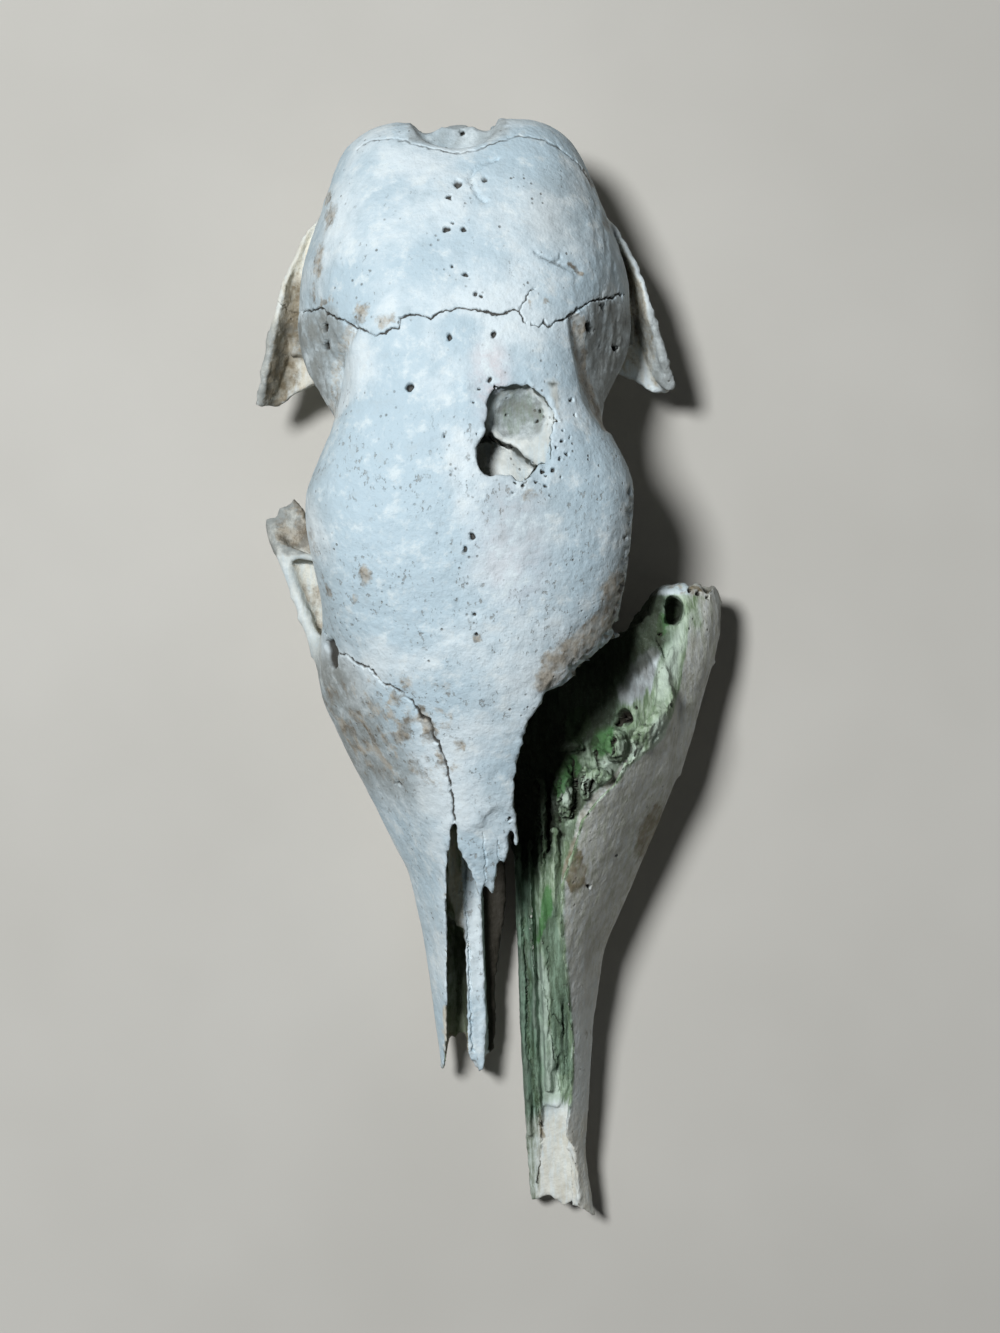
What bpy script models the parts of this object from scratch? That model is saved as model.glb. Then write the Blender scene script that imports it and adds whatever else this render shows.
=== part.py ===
import math

import bmesh
import bpy
from mathutils import Matrix, Vector

# An armadillo skull in two pieces: the cranium, and the left upper jaw that broke off it.
# All lengths below are millimetres, turned into metres as each mesh is made.
# Skull axes: x from the midline toward the animal's left, y toward the back of the head, z up.
MM = 0.001

# Walls and clearances
WALL = 1.1
NOSE_WALL = 1.0
PALATE_TOP = 3.5
SOCKET_ROOF = 6.9
TOOTH_GAP = 0.3

# Edges that turn by more than this stay sharp
SHARP_ANGLE = math.radians(35)

# Where the loose jaw lies, from its place in the whole skull
JAW_SHIFT = (3.9, -8.3, 0.0)

# Cross sections of the whole skull, from the back of the head to the nose tip.
# Each has nine points from the top midline round one side to the bottom midline.
SECTIONS = (
    (52.4, ((0, 12.8), (3.5, 13.8), (5.6, 14.6), (6.9, 13.8), (7.3, 12.0),
            (6.8, 10.0), (5.5, 8.4), (3.0, 7.8), (0, 7.8))),
    (51.7, ((0, 15.0), (3.8, 16.6), (6.6, 16.6), (8.4, 14.8), (9.1, 12.0),
            (8.5, 9.0), (6.7, 6.4), (3.5, 5.6), (0, 5.6))),
    (50.0, ((0, 18.4), (4.6, 19.3), (8.2, 18.2), (10.3, 15.6), (11.2, 12.2),
            (10.5, 8.2), (8.4, 4.9), (4.0, 4.2), (0, 4.2))),
    (47.0, ((0, 21.3), (5.0, 21.2), (9.2, 19.8), (11.6, 16.6), (12.5, 12.5),
            (11.8, 8.0), (10.0, 4.6), (5.0, 3.7), (0, 3.7))),
    (43.0, ((0, 23.6), (5.5, 23.3), (10.2, 21.4), (13.0, 17.5), (13.9, 12.6),
            (13.0, 8.0), (10.8, 4.5), (5.5, 3.7), (0, 3.7))),
    (38.0, ((0, 25.5), (6.0, 25.1), (11.0, 22.8), (14.4, 18.2), (15.7, 13.0),
            (14.4, 8.6), (11.0, 4.9), (5.5, 3.9), (0, 3.9))),
    (33.0, ((0, 26.9), (6.0, 26.4), (10.8, 23.8), (13.6, 18.8), (16.1, 13.2),
            (14.6, 8.6), (10.5, 5.1), (5.3, 4.1), (0, 4.1))),
    (28.8, ((0, 27.6), (6.0, 27.0), (10.1, 24.4), (11.8, 19.4), (15.4, 13.4),
            (13.6, 9.0), (9.2, 5.5), (4.6, 4.5), (0, 4.5))),
    (25.2, ((0, 28.0), (6.0, 27.4), (10.2, 24.8), (11.7, 20.4), (13.3, 14.4),
            (11.4, 10.0), (8.2, 6.2), (4.0, 5.0), (0, 5.0))),
    (21.5, ((0, 28.3), (6.5, 27.7), (11.2, 25.2), (13.3, 21.0), (12.6, 15.5),
            (10.0, 10.5), (7.0, 6.8), (3.5, 5.3), (0, 5.3))),
    (16.5, ((0, 28.5), (7.5, 27.8), (13.2, 25.0), (15.5, 20.8), (14.4, 15.0),
            (10.6, 10.5), (7.2, 6.5), (3.6, 4.8), (0, 4.8))),
    (11.0, ((0, 28.2), (7.3, 27.5), (12.8, 24.7), (15.2, 20.2), (14.2, 15.0),
            (10.9, 9.2), (7.8, 4.8), (3.9, 3.4), (0, 3.3))),
    (6.0, ((0, 27.2), (6.8, 26.4), (11.6, 23.7), (14.1, 19.4), (14.3, 14.0),
           (11.8, 7.6), (8.4, 2.8), (4.2, 2.5), (0, 2.6))),
    (2.0, ((0, 26.2), (6.0, 25.3), (10.2, 22.6), (13.2, 18.0), (15.6, 11.5),
           (12.8, 6.0), (8.5, 2.3), (4.2, 2.3), (0, 2.5))),
    (-3.0, ((0, 24.4), (5.2, 23.5), (8.9, 20.9), (12.2, 16.2), (15.3, 10.0),
            (12.6, 5.2), (8.2, 2.1), (4.1, 2.2), (0, 2.5))),
    (-8.0, ((0, 22.0), (4.3, 21.2), (7.5, 18.8), (10.6, 14.0), (13.2, 8.6),
            (11.2, 4.6), (7.7, 2.0), (3.8, 2.2), (0, 2.5))),
    (-14.0, ((0, 19.6), (3.3, 18.9), (5.9, 16.6), (8.4, 12.2), (10.4, 7.6),
             (9.2, 4.1), (6.9, 2.0), (3.4, 2.2), (0, 2.4))),
    (-20.0, ((0, 17.2), (2.8, 16.4), (4.7, 14.0), (6.4, 10.4), (7.6, 6.8),
             (7.1, 4.0), (5.9, 2.0), (2.9, 2.2), (0, 2.4))),
    (-27.0, ((0, 14.2), (2.6, 13.4), (4.2, 11.4), (5.5, 8.6), (6.35, 6.0),
             (6.0, 3.8), (5.0, 2.1), (2.5, 2.2), (0, 2.3))),
    (-34.0, ((0, 11.6), (2.6, 11.0), (4.0, 9.4), (5.0, 7.4), (5.7, 5.4),
             (5.4, 3.6), (4.5, 2.1), (2.2, 2.1), (0, 2.2))),
    (-40.0, ((0, 9.6), (2.4, 9.2), (3.7, 8.0), (4.6, 6.4), (5.15, 4.9),
             (4.8, 3.5), (4.0, 2.1), (2.0, 2.0), (0, 2.1))),
    (-47.2, ((0, 7.6), (2.3, 7.4), (3.8, 6.6), (5.1, 5.4), (5.85, 4.2),
             (5.6, 3.1), (4.3, 1.9), (2.1, 1.6), (0, 1.6))),
)
OUTER_PER_SPAN = 2
INNER_PER_SPAN = 1

# Rim of the roof over the back of the head, and the outline of the bone below it
BACK_LEDGE = (
    (-4.6, 56.0), (-4.4, 51.6), (-3.8, 50.3), (-3.0, 49.5), (-1.6, 48.9), (0.2, 48.6),
    (1.8, 48.9), (3.0, 49.6), (3.6, 50.6), (4.1, 51.8), (4.3, 56.0),
)
BACK_NOTCH = (
    (-4.9, 56.0), (-4.6, 52.0), (-4.1, 51.1), (-3.2, 50.6), (-2.3, 50.8), (-1.2, 51.5),
    (-0.3, 52.2), (0.4, 52.1), (1.4, 51.3), (2.7, 50.6), (3.5, 50.9), (4.0, 51.7), (4.4, 56.0),
)

# Outline of the hole in the left frontal, seen from above
FRONTAL_HOLE = (
    (2.4, 24.9), (3.6, 25.2), (4.6, 25.1), (5.5, 25.3), (6.1, 24.8), (6.9, 24.1),
    (7.6, 23.4), (7.8, 22.4), (7.5, 21.7), (7.5, 21.0), (7.2, 20.3), (7.4, 19.1),
    (7.5, 18.0), (7.2, 17.2), (6.7, 16.9), (5.0, 17.2), (3.4, 17.3), (2.2, 17.5),
    (1.6, 17.2), (1.0, 18.1), (0.8, 18.9), (0.9, 19.9), (1.7, 21.3), (1.5, 21.9),
    (1.9, 22.4), (1.9, 23.3), (2.3, 24.5),
)
# Broken edge of the roof, from the left frontal forward round the nasal splint
# and along the free edge of the right maxilla to its tip
ROOF_BREAK = (
    (15.45, 17.0), (15.3, 15.1), (15.0, 12.6), (14.9, 11.0), (14.55, 9.4), (14.4, 7.6),
    (13.9, 5.8), (13.4, 3.6), (12.8, 2.1), (11.7, 1.4), (10.9, 0.6), (9.3, -0.3),
    (8.9, -1.3), (7.7, -2.2), (6.3, -2.5), (5.9, -3.6), (4.6, -5.2), (4.0, -7.2),
    (3.3, -10.1), (3.0, -13.7), (3.1, -17.0), (2.6, -17.1), (2.1, -18.2),
    (1.5, -18.7), (0.8, -21.5), (0.2, -21.0), (-0.5, -21.5), (-0.9, -20.3),
    (-1.8, -18.3), (-2.5, -16.9), (-2.0, -14.2), (-2.7, -14.4), (-2.9, -15.4),
    (-3.4, -17.9), (-3.7, -22.1), (-3.9, -28.2), (-4.3, -36.0), (-4.6, -39.0),
)
# Broken upper edge of the left jaw, front to back, in the whole skull's place
JAW_BREAK = (
    (4.8, -50.0), (4.6, -44.0), (3.9, -39.5), (3.0, -37.5), (3.5, -34.4), (4.0, -28.5),
    (3.4, -21.4), (3.0, -16.4), (3.3, -12.0), (4.6, -8.6), (5.3, -6.2), (6.9, -4.4),
    (8.6, -2.9), (9.3, -1.4), (10.4, -0.6), (10.9, 1.8),
)

# Broken front end of the right upper jaw and the vomer
TIP_BREAK = (
    (-30.0, -38.0), (-5.6, -38.3), (-5.1, -39.8), (-4.7, -39.7), (-4.3, -37.6), (-4.2, -36.3),
    (-3.5, -37.0), (-3.1, -36.1), (-2.75, -36.6), (-2.5, -38.2), (-1.85, -40.0), (-1.45, -40.0),
    (-0.8, -38.6), (5.0, -38.4), (5.0, -60.0), (-30.0, -60.0),
)
# Root of the left cheek arch: y, then its outline from the inner top edge outward
CHEEK_ROOT = (
    (15.8, ((14.7, 9.8), (16.3, 10.4), (17.9, 9.5), (18.9, 7.7), (18.3, 6.3), (16.7, 5.8), (14.7, 6.6))),
    (15.2, ((13.9, 10.8), (16.4, 11.6), (18.8, 10.1), (20.2, 7.7), (19.5, 5.5), (16.9, 4.7), (13.6, 6.2))),
    (12.5, ((13.0, 12.5), (16.6, 12.5), (19.0, 10.6), (20.4, 7.9), (19.5, 5.2), (16.5, 4.2), (11.4, 6.4))),
    (9.0, ((12.8, 13.3), (16.2, 13.2), (18.4, 11.0), (19.7, 8.1), (18.6, 5.2), (15.6, 3.9), (9.9, 6.2))),
    (5.0, ((12.7, 13.8), (15.1, 13.8), (17.1, 11.4), (18.3, 8.5), (17.0, 5.2), (14.2, 3.6), (10.4, 6.0))),
    (1.0, ((12.2, 13.7), (13.9, 14.0), (16.0, 11.6), (17.1, 9.1), (15.6, 5.4), (13.2, 3.7), (11.6, 6.4))),
    (-3.0, ((11.9, 13.4), (12.7, 13.8), (14.7, 11.6), (15.6, 9.6), (14.2, 6.0), (12.4, 4.4), (11.4, 7.0))),
)

# Thin walls inside the left jaw: thickness, height of the foot, and points along the top edge
LAMELLAE = (
    ("edge_lamella", 0.55, 2.75,
     ((-0.45, -9.3, 6.2), (-0.6, -18.0, 6.0), (-0.6, -28.0, 5.4), (-0.45, -38.5, 4.6))),
    ("inner_lamella", 0.45, 2.9,
     ((0.6, -9.0, 7.0), (0.45, -18.0, 6.8), (0.45, -28.0, 6.0), (0.6, -37.5, 4.8))),
    ("middle_lamella", 0.6, 2.9,
     ((1.9, -7.5, 8.2), (1.6, -13.0, 7.7), (1.5, -22.0, 7.0), (1.6, -34.0, 5.6))),
    ("outer_lamella", 0.6, 3.0, ((3.2, -7.6, 8.6), (2.9, -12.0, 8.2), (2.7, -16.5, 7.4))),
    ("medial_scroll", 0.9, 3.0, ((1.7, -2.8, 8.6), (1.75, -4.8, 9.4), (1.8, -7.0, 8.4))),
)
# Rolled lumps of the nose's inner bones: centre and radii
SCROLLS = (
    ("long_scroll", (4.2, -4.2, 7.1), (1.1, 2.9, 2.8)),
    ("side_scroll", (6.2, -3.4, 7.6), (0.7, 2.0, 1.9)),
    ("upper_lump", (9.3, 0.2, 8.4), (1.5, 1.7, 2.6)),
    ("lower_lump", (7.9, -2.8, 8.0), (1.3, 1.1, 2.2)),
    ("back_lump", (4.9, 0.4, 7.4), (1.4, 1.0, 2.0)),
)

# Wing-like root of the cheek arch on the side of the braincase.
# Each section has y, then the outline of a scoop: shelf, rim and underside.
WING = (
    (44.6, ((11.5, 10.6), (12.9, 10.4), (13.3, 11.6), (13.6, 10.6), (13.2, 9.4), (11.5, 9.0))),
    (42.0, ((12.0, 10.2), (14.3, 9.8), (15.0, 11.9), (15.5, 11.6), (15.0, 8.7), (12.0, 8.2))),
    (38.0, ((13.0, 9.6), (15.9, 8.8), (16.9, 12.2), (17.5, 11.9), (16.8, 7.6), (13.0, 7.2))),
    (34.0, ((13.6, 9.2), (16.7, 8.2), (18.0, 12.0), (18.7, 11.7), (17.8, 6.9), (13.6, 7.0))),
    (30.0, ((13.0, 9.0), (17.5, 7.8), (19.1, 11.2), (19.8, 10.9), (18.9, 6.5), (13.0, 7.2))),
    (28.4, ((14.6, 8.6), (17.9, 7.6), (19.5, 10.7), (20.2, 10.4), (19.4, 6.3), (14.6, 7.0))),
    (27.5, ((16.9, 8.1), (18.2, 7.5), (19.8, 10.2), (20.5, 9.9), (19.7, 6.3), (16.9, 6.9))),
    (26.3, ((18.5, 7.7), (18.9, 7.4), (20.1, 9.3), (20.7, 9.0), (20.2, 6.6), (18.5, 6.8))),
)

LEFT_WING_INWARD = 0.4

# Teeth: pegs in a row along each jaw, from the back forward
TOOTH_RADIUS = 1.1
TOOTH_TOP = 5.6
FIRST_TOOTH_Y = 2.2
TOOTH_STEP = 3.6
TEETH_PER_SIDE = 7
RIGHT_TEETH = (1, 2, 3, 5, 6, 7)
LEFT_TEETH = (1, 2, 4, 5, 7)


def tooth_place(number):
    """x and y of a socket's axis on the left side. Number 1 is the front tooth."""
    y = FIRST_TOOTH_Y - TOOTH_STEP * (TEETH_PER_SIDE - number)
    return section_at(y)[6][0] - 1.55, y


def hermite(knots, values, at):
    """Smooth curve through the values at rising knots."""
    at = min(max(at, knots[0]), knots[-1])
    i = 0
    while i < len(knots) - 2 and at > knots[i + 1]:
        i += 1
    slopes = []
    for j in (i, i + 1):
        before = max(j - 1, 0)
        after = min(j + 1, len(knots) - 1)
        slopes.append((values[after] - values[before]) / (knots[after] - knots[before]))
    span = knots[i + 1] - knots[i]
    t = (at - knots[i]) / span
    return (
        values[i] * (2 * t**3 - 3 * t**2 + 1)
        + values[i + 1] * (3 * t**2 - 2 * t**3)
        + slopes[0] * span * (t**3 - 2 * t**2 + t)
        + slopes[1] * span * (t**3 - t**2)
    )


def section_at(y):
    """The nine points of the skull's cross section at y."""
    rising = SECTIONS[::-1]
    knots = [section[0] for section in rising]
    points = []
    for i in range(9):
        x = hermite(knots, [section[1][i][0] for section in rising], y)
        z = hermite(knots, [section[1][i][1] for section in rising], y)
        points.append((max(x, 0.0), z))
    return points


def closed_curve(points, per_span):
    """Smooth closed curve through the points, with a few points on each span."""
    count = len(points)
    curve = []
    for i in range(count):
        a, b, c, d = (points[(i + k) % count] for k in (-1, 0, 1, 2))
        for step in range(per_span):
            t = step / per_span
            curve.append(tuple(
                0.5 * (2 * b[k] + (c[k] - a[k]) * t
                       + (2 * a[k] - 5 * b[k] + 4 * c[k] - d[k]) * t**2
                       + (3 * b[k] - a[k] - 3 * c[k] + d[k]) * t**3)
                for k in (0, 1)
            ))
    return curve


def ring_at(y, per_span=OUTER_PER_SPAN, inset=0.0, floor=None):
    """The whole cross section at y, moved inward by inset and lifted to the floor."""
    half = section_at(y)
    whole = half + [(-x, z) for x, z in half[-2:0:-1]]
    curve = closed_curve(whole, per_span)
    count = len(curve)
    ring = []
    for i, (x, z) in enumerate(curve):
        ahead = curve[(i + 1) % count]
        behind = curve[i - 1]
        along = (ahead[0] - behind[0], ahead[1] - behind[1])
        length = math.hypot(*along)
        x -= inset * -along[1] / length
        z -= inset * along[0] / length
        if floor:
            z = max(z, floor(x, y))
        ring.append((x, y, z))
    return ring


def finish(bm, name):
    bmesh.ops.recalc_face_normals(bm, faces=bm.faces[:])
    mesh = bpy.data.meshes.new(name)
    bm.to_mesh(mesh)
    bm.free()
    made = bpy.data.objects.new(name, mesh)
    bpy.context.scene.collection.objects.link(made)
    return made


def loft(name, rings):
    """A closed skin over rings of equal count, flat at both ends."""
    bm = bmesh.new()
    rows = [[bm.verts.new([MM * value for value in point]) for point in ring] for ring in rings]
    count = len(rows[0])
    for here, there in zip(rows, rows[1:]):
        for i in range(count):
            j = (i + 1) % count
            bm.faces.new((here[i], here[j], there[j], there[i]))
    for row in (rows[0], rows[-1]):
        bm.faces.new(row)
    return finish(bm, name)


def prism(name, outline, low, high):
    """An upright prism over an outline in x and y."""
    bm = bmesh.new()
    base = bm.faces.new([bm.verts.new((MM * x, MM * y, MM * low)) for x, y in outline])
    lifted = bmesh.ops.extrude_face_region(bm, geom=[base])["geom"]
    corners = [item for item in lifted if isinstance(item, bmesh.types.BMVert)]
    bmesh.ops.translate(bm, verts=corners, vec=(0, 0, MM * (high - low)))
    return finish(bm, name)


def ellipsoid(name, centre, radii, segments=14, rings=9):
    bm = bmesh.new()
    bmesh.ops.create_uvsphere(bm, u_segments=segments, v_segments=rings, radius=MM)
    bmesh.ops.scale(bm, vec=radii, verts=bm.verts[:])
    bmesh.ops.translate(bm, vec=[MM * value for value in centre], verts=bm.verts[:])
    return finish(bm, name)


def tube(name, path, radii, sides=8):
    """A rod along a path, with its own radius at each point."""
    points = [Vector(point) for point in path]
    rings = []
    for i, point in enumerate(points):
        along = (points[min(i + 1, len(points) - 1)] - points[max(i - 1, 0)]).normalized()
        side = along.cross(Vector((0, 0, 1))).normalized()
        over = side.cross(along)
        rings.append([
            point + radii[i] * (side * math.cos(turn) + over * math.sin(turn))
            for turn in (2 * math.pi * k / sides for k in range(sides))
        ])
    return loft(name, rings)


def plate(name, path, thickness, low):
    """An upright thin plate: path points are x, y and top height."""
    rings = []
    for x, y, top in path:
        half = thickness / 2
        rings.append([
            (x - half, y, low), (x + half, y, low), (x + half, y, top - half),
            (x, y, top), (x - half, y, top - half),
        ])
    return loft(name, rings)


def combine(body, tool, operation):
    """Applies one Boolean to the body and removes the tool."""
    modifier = body.modifiers.new(operation.lower(), "BOOLEAN")
    modifier.operation = operation
    modifier.solver = "EXACT"
    modifier.object = tool
    bpy.context.view_layer.update()
    graph = bpy.context.evaluated_depsgraph_get()
    mesh = bpy.data.meshes.new_from_object(body.evaluated_get(graph))
    body.modifiers.clear()
    old = body.data
    body.data = mesh
    bpy.data.meshes.remove(old)
    bpy.data.objects.remove(tool)


def copy_of(source, name):
    made = bpy.data.objects.new(name, source.data.copy())
    bpy.context.scene.collection.objects.link(made)
    return made


def steps(start, end, count):
    return [start + (end - start) * i / (count - 1) for i in range(count)]


def mirrored(points):
    return [(-point[0],) + tuple(point[1:]) for point in points]


def cavity_floor(x, y):
    """Height of the bone's upper face over the palate, the tooth roots and the skull base."""
    if y > 12.0:
        return 5.2 + 0.004 * x * x
    middle = section_at(y)[6][0] - 1.55
    rise = min(max(abs(x) - middle + 3.6, 0.0), 1.0)
    end = min(max((y + 26.0) / 3.0, 0.0), 1.0) * min(max((8.0 - y) / 3.0, 0.0), 1.0)
    return PALATE_TOP + 0.012 * x * x + (SOCKET_ROOF - PALATE_TOP) * rise * rise * (3 - 2 * rise) * end


def whole_skull():
    """The unbroken, hollow skull that both pieces are parts of."""
    outer = loft("skull", [ring_at(y) for y in (
        52.4, 51.7, 50.9, 50.0, 48.6, 47.0, 45.0, 43.0, 40.5, 38.0, 35.5, 33.0, 31.0, 28.8,
        27.0, 25.2, 23.4, 21.5, 19.0, 16.5, 13.8, 11.0, 8.5, 6.0, 4.0, 2.0, -0.5, -3.0,
        -8.0, -14.0, -20.0, -27.0, -34.0, -40.0, -47.2,
    )])
    inner = loft("inside", [ring_at(y, INNER_PER_SPAN, wall, cavity_floor) for y, wall in (
        (47.6, 3.2), (46.9, 2.2), (46.0, 1.5), (44.5, WALL), (43.0, WALL), (40.5, WALL), (38.0, WALL),
        (33.0, WALL), (28.8, WALL), (25.2, WALL), (21.5, WALL), (16.5, WALL), (11.9, WALL), (8.5, WALL),
        (6.0, WALL), (2.0, WALL), (-3.0, WALL), (-8.0, WALL), (-14.0, WALL), (-20.0, NOSE_WALL),
        (-23.5, NOSE_WALL), (-27.0, NOSE_WALL), (-34.0, NOSE_WALL), (-40.0, NOSE_WALL), (-49.0, NOSE_WALL),
    )])
    combine(outer, inner, "DIFFERENCE")
    return outer


def add_bulkhead(skull):
    """The thin wall between the brain cavity and the nose, and the brain cavity's front floor."""
    middle = loft("bulkhead", [ring_at(y, INNER_PER_SPAN, WALL / 2) for y in steps(38.0, 12.0, 14)])
    crest = 23.5
    lean = 0.72
    wide = 20.0
    wall = prism("partition", [
        (0, crest), (wide, crest - lean * wide), (wide, crest - lean * wide - 1.2),
        (0, crest - 1.2), (-wide, crest - lean * wide - 1.2), (-wide, crest - lean * wide),
    ], 18.8, 40.0)
    floor = loft("brain_floor", [
        [(-wide, y, low), (wide, y, low), (wide, y, low + 1.2), (-wide, y, low + 1.2)]
        for y, low in ((10.0, 19.6), (18.0, 19.2), (22.0, 18.9), (25.5, 18.2), (28.5, 15.0), (31.0, 10.5),
                       (33.5, 6.0), (36.0, 3.0))
    ])
    combine(wall, floor, "UNION")
    combine(wall, middle, "INTERSECT")
    combine(skull, wall, "UNION")


def add_back_of_head(skull):
    """Condyles, mastoid feet, the notch over the supraoccipital, and the foramen magnum."""
    for side in (-1, 1):
        condyle = ellipsoid("condyle", (side * 4.7, 49.9, 5.2), (2.4, 2.5, 2.9), 8, 6)
        combine(skull, condyle, "UNION")
        foot = loft("mastoid", [
            [(side * (10.0 + across * reach), 43.0 + lean + ahead * reach * 1.25, z)
             for across, ahead in ((1, 0), (0.7, 0.7), (0, 1), (-0.7, 0.7),
                                   (-1, 0), (-0.7, -0.7), (0, -1), (0.7, -0.7))]
            for z, reach, lean in ((0.0, 0.9, -0.6), (0.5, 1.5, -0.5), (1.6, 2.2, -0.2), (3.4, 3.0, 0.0),
                                   (6.4, 3.4, 0.2))
        ])
        combine(skull, foot, "UNION")
    combine(skull, prism("ledge", BACK_LEDGE, 16.6, 30.0), "DIFFERENCE")
    notch = [
        [(x * narrow, y + back if y < 55.0 else 60.0, z) for x, y in BACK_NOTCH]
        for z, back, narrow in ((7.0, 1.8, 0.75), (10.0, 1.1, 0.85), (13.5, 0.4, 0.95), (16.5, 0.0, 1.0),
                                (30.0, 0.0, 1.0))
    ]
    combine(skull, loft("notch", notch), "DIFFERENCE")
    canal = [
        [(3.9 * math.cos(turn), y, 8.3 + 3.3 * math.sin(turn))
         for turn in (2 * math.pi * k / 16 for k in range(16))]
        for y in (56.0, 45.5)
    ]
    combine(skull, loft("foramen", canal), "DIFFERENCE")


def add_wings(skull):
    for side, inward in ((-1, 0.0), (1, LEFT_WING_INWARD)):
        rings = [[(side * (x - inward), y, z) for x, z in outline] for y, outline in WING]
        combine(skull, loft("wing", rings), "UNION")


def add_base(skull):
    """Ear rings, jaw-joint ridges, and the open channel behind the palate."""
    for side in (-1, 1):
        ring = [
            (side * (8.2 + 2.5 * math.cos(turn)), 37.0 + 2.7 * math.sin(turn), 3.6 + 0.5 * math.cos(turn))
            for turn in (math.radians(40 + 35 * k) for k in range(9))
        ]
        combine(skull, tube("ear_ring", ring, [0.75] * 9, 6), "UNION")
        hook = [
            (side * x, y, z)
            for x, y, z in ((4.6, 22.5, 5.5), (4.9, 20.0, 3.6), (5.0, 17.0, 3.4), (4.8, 12.5, 3.6))
        ]
        combine(skull, tube("pterygoid", hook, (0.6, 0.9, 0.9, 0.8), 6), "UNION")
    channel = [
        (-3.9, 21.5), (-3.9, 11.8), (-2.6, 9.6), (0, 8.8), (2.6, 9.6), (3.9, 11.8), (3.9, 21.5), (0, 22.8),
    ]
    combine(skull, prism("channel", channel, -2.0, 7.4), "DIFFERENCE")


def add_sockets(skull):
    for side in (-1, 1):
        for number in range(1, TEETH_PER_SIDE + 1):
            x, y = tooth_place(number)
            radius = TOOTH_RADIUS + TOOTH_GAP
            hole = [
                [(side * x + radius * math.cos(turn), y + radius * math.sin(turn), z)
                 for turn in (2 * math.pi * k / 8 for k in range(8))]
                for z in (-2.0, TOOTH_TOP + TOOTH_GAP)
            ]
            combine(skull, loft("socket", hole), "DIFFERENCE")


def build_cranium(skull):
    """The skull without its left upper jaw, front nasals and nose tip."""
    cranium = copy_of(skull, "cranium")
    far = 40.0
    combine(cranium, prism("roof_break", list(ROOF_BREAK) + [(-4.7, -60.0), (far, -60.0), (far, 17.0)],
                           5.6, 60.0), "DIFFERENCE")
    combine(cranium, prism("lost_side", [
        (-0.2, -60.0), (-0.2, 11.5), (2.6, 12.6), (6.4, 11.0), (8.4, 10.9), (10.4, 11.5), (12.4, 12.4),
        (13.4, 14.0), (14.9, 15.0), (far, 15.0), (far, -60.0),
    ], -5.0, 14.0), "DIFFERENCE")
    combine(cranium, prism("hole", FRONTAL_HOLE, 23.6, 40.0), "DIFFERENCE")
    add_right_cheek(cranium)
    add_nose_walls(cranium)
    combine(cranium, prism("tip_break", TIP_BREAK, -5.0, 30.0), "DIFFERENCE")
    return cranium


def add_right_cheek(cranium):
    """Floor of the right eye socket, its rim, the strut to the frontal and the thin plate behind."""
    combine(cranium, prism("eye_floor", mirrored((
        (12.2, 0.5), (15.6, 0.6), (16.7, 4.6), (17.8, 8.1), (18.9, 10.6), (20.1, 13.0),
        (20.35, 15.2), (19.1, 15.5), (18.9, 16.4), (18.0, 16.5), (17.4, 17.4), (16.5, 16.1),
        (16.1, 14.8), (15.7, 12.4), (13.4, 10.4), (12.4, 6.0),
    )), 6.6, 7.9), "UNION")
    rim = ((13.2, -1.5, 10.5), (15.1, 1.5, 10.6), (16.4, 5.0, 10.4), (17.6, 8.6, 10.0), (18.6, 11.4, 9.3),
           (19.4, 13.4, 8.4), (19.7, 15.0, 7.5))
    combine(cranium, tube("rim", mirrored(rim), (1.0, 1.0, 0.85, 0.75, 0.8, 0.8, 0.6)), "UNION")
    web = [
        [(-x, y, 7.2), (-x + 0.75, y, 7.2), (-x + 0.75, y, top), (-x, y, top)]
        for x, y, top in ((15.1, 0.6, 10.4), (16.6, 4.8, 10.2), (17.7, 8.4, 9.8), (18.9, 12.0, 8.8))
    ]
    combine(cranium, loft("web", web), "UNION")
    strut = ((19.2, 12.7, 8.6), (17.6, 11.9, 9.6), (15.6, 11.1, 11.2), (13.4, 10.7, 12.6))
    combine(cranium, tube("strut", mirrored(strut), (0.85, 0.75, 0.7, 0.8)), "UNION")


def add_nose_walls(cranium):
    """The midline septum and vomer, and one lamella beside them."""
    combine(cranium, plate("septum", [
        (-0.9, y, top)
        for y, top in ((14.5, 17.0), (8.0, 17.0), (2.0, 17.0), (-4.0, 15.5), (-9.0, 12.5), (-14.0, 9.5))
    ], 0.9, 3.0), "UNION")
    vomer = [
        [(-2.7, y, 2.9), (-0.75, y, 2.9), (-0.75, y, top - 0.3), (-1.1, y, top), (-1.55, y, top - 0.4),
         (-1.6, y, top - 2.0), (-2.1, y, top - 2.1), (-2.25, y, top - 0.1), (-2.65, y, top)]
        for y, top in ((-12.0, 9.4), (-20.0, 8.6), (-28.0, 7.8), (-34.0, 7.0), (-41.0, 6.0))
    ]
    combine(cranium, loft("vomer", vomer), "UNION")
    lamella = ((-3.9, -9.0, 11.0), (-3.6, -15.0, 10.2), (-3.5, -20.5, 8.9), (-3.5, -24.2, 7.6))
    combine(cranium, plate("lamella", lamella, 0.5, 6.3), "UNION")


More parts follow.
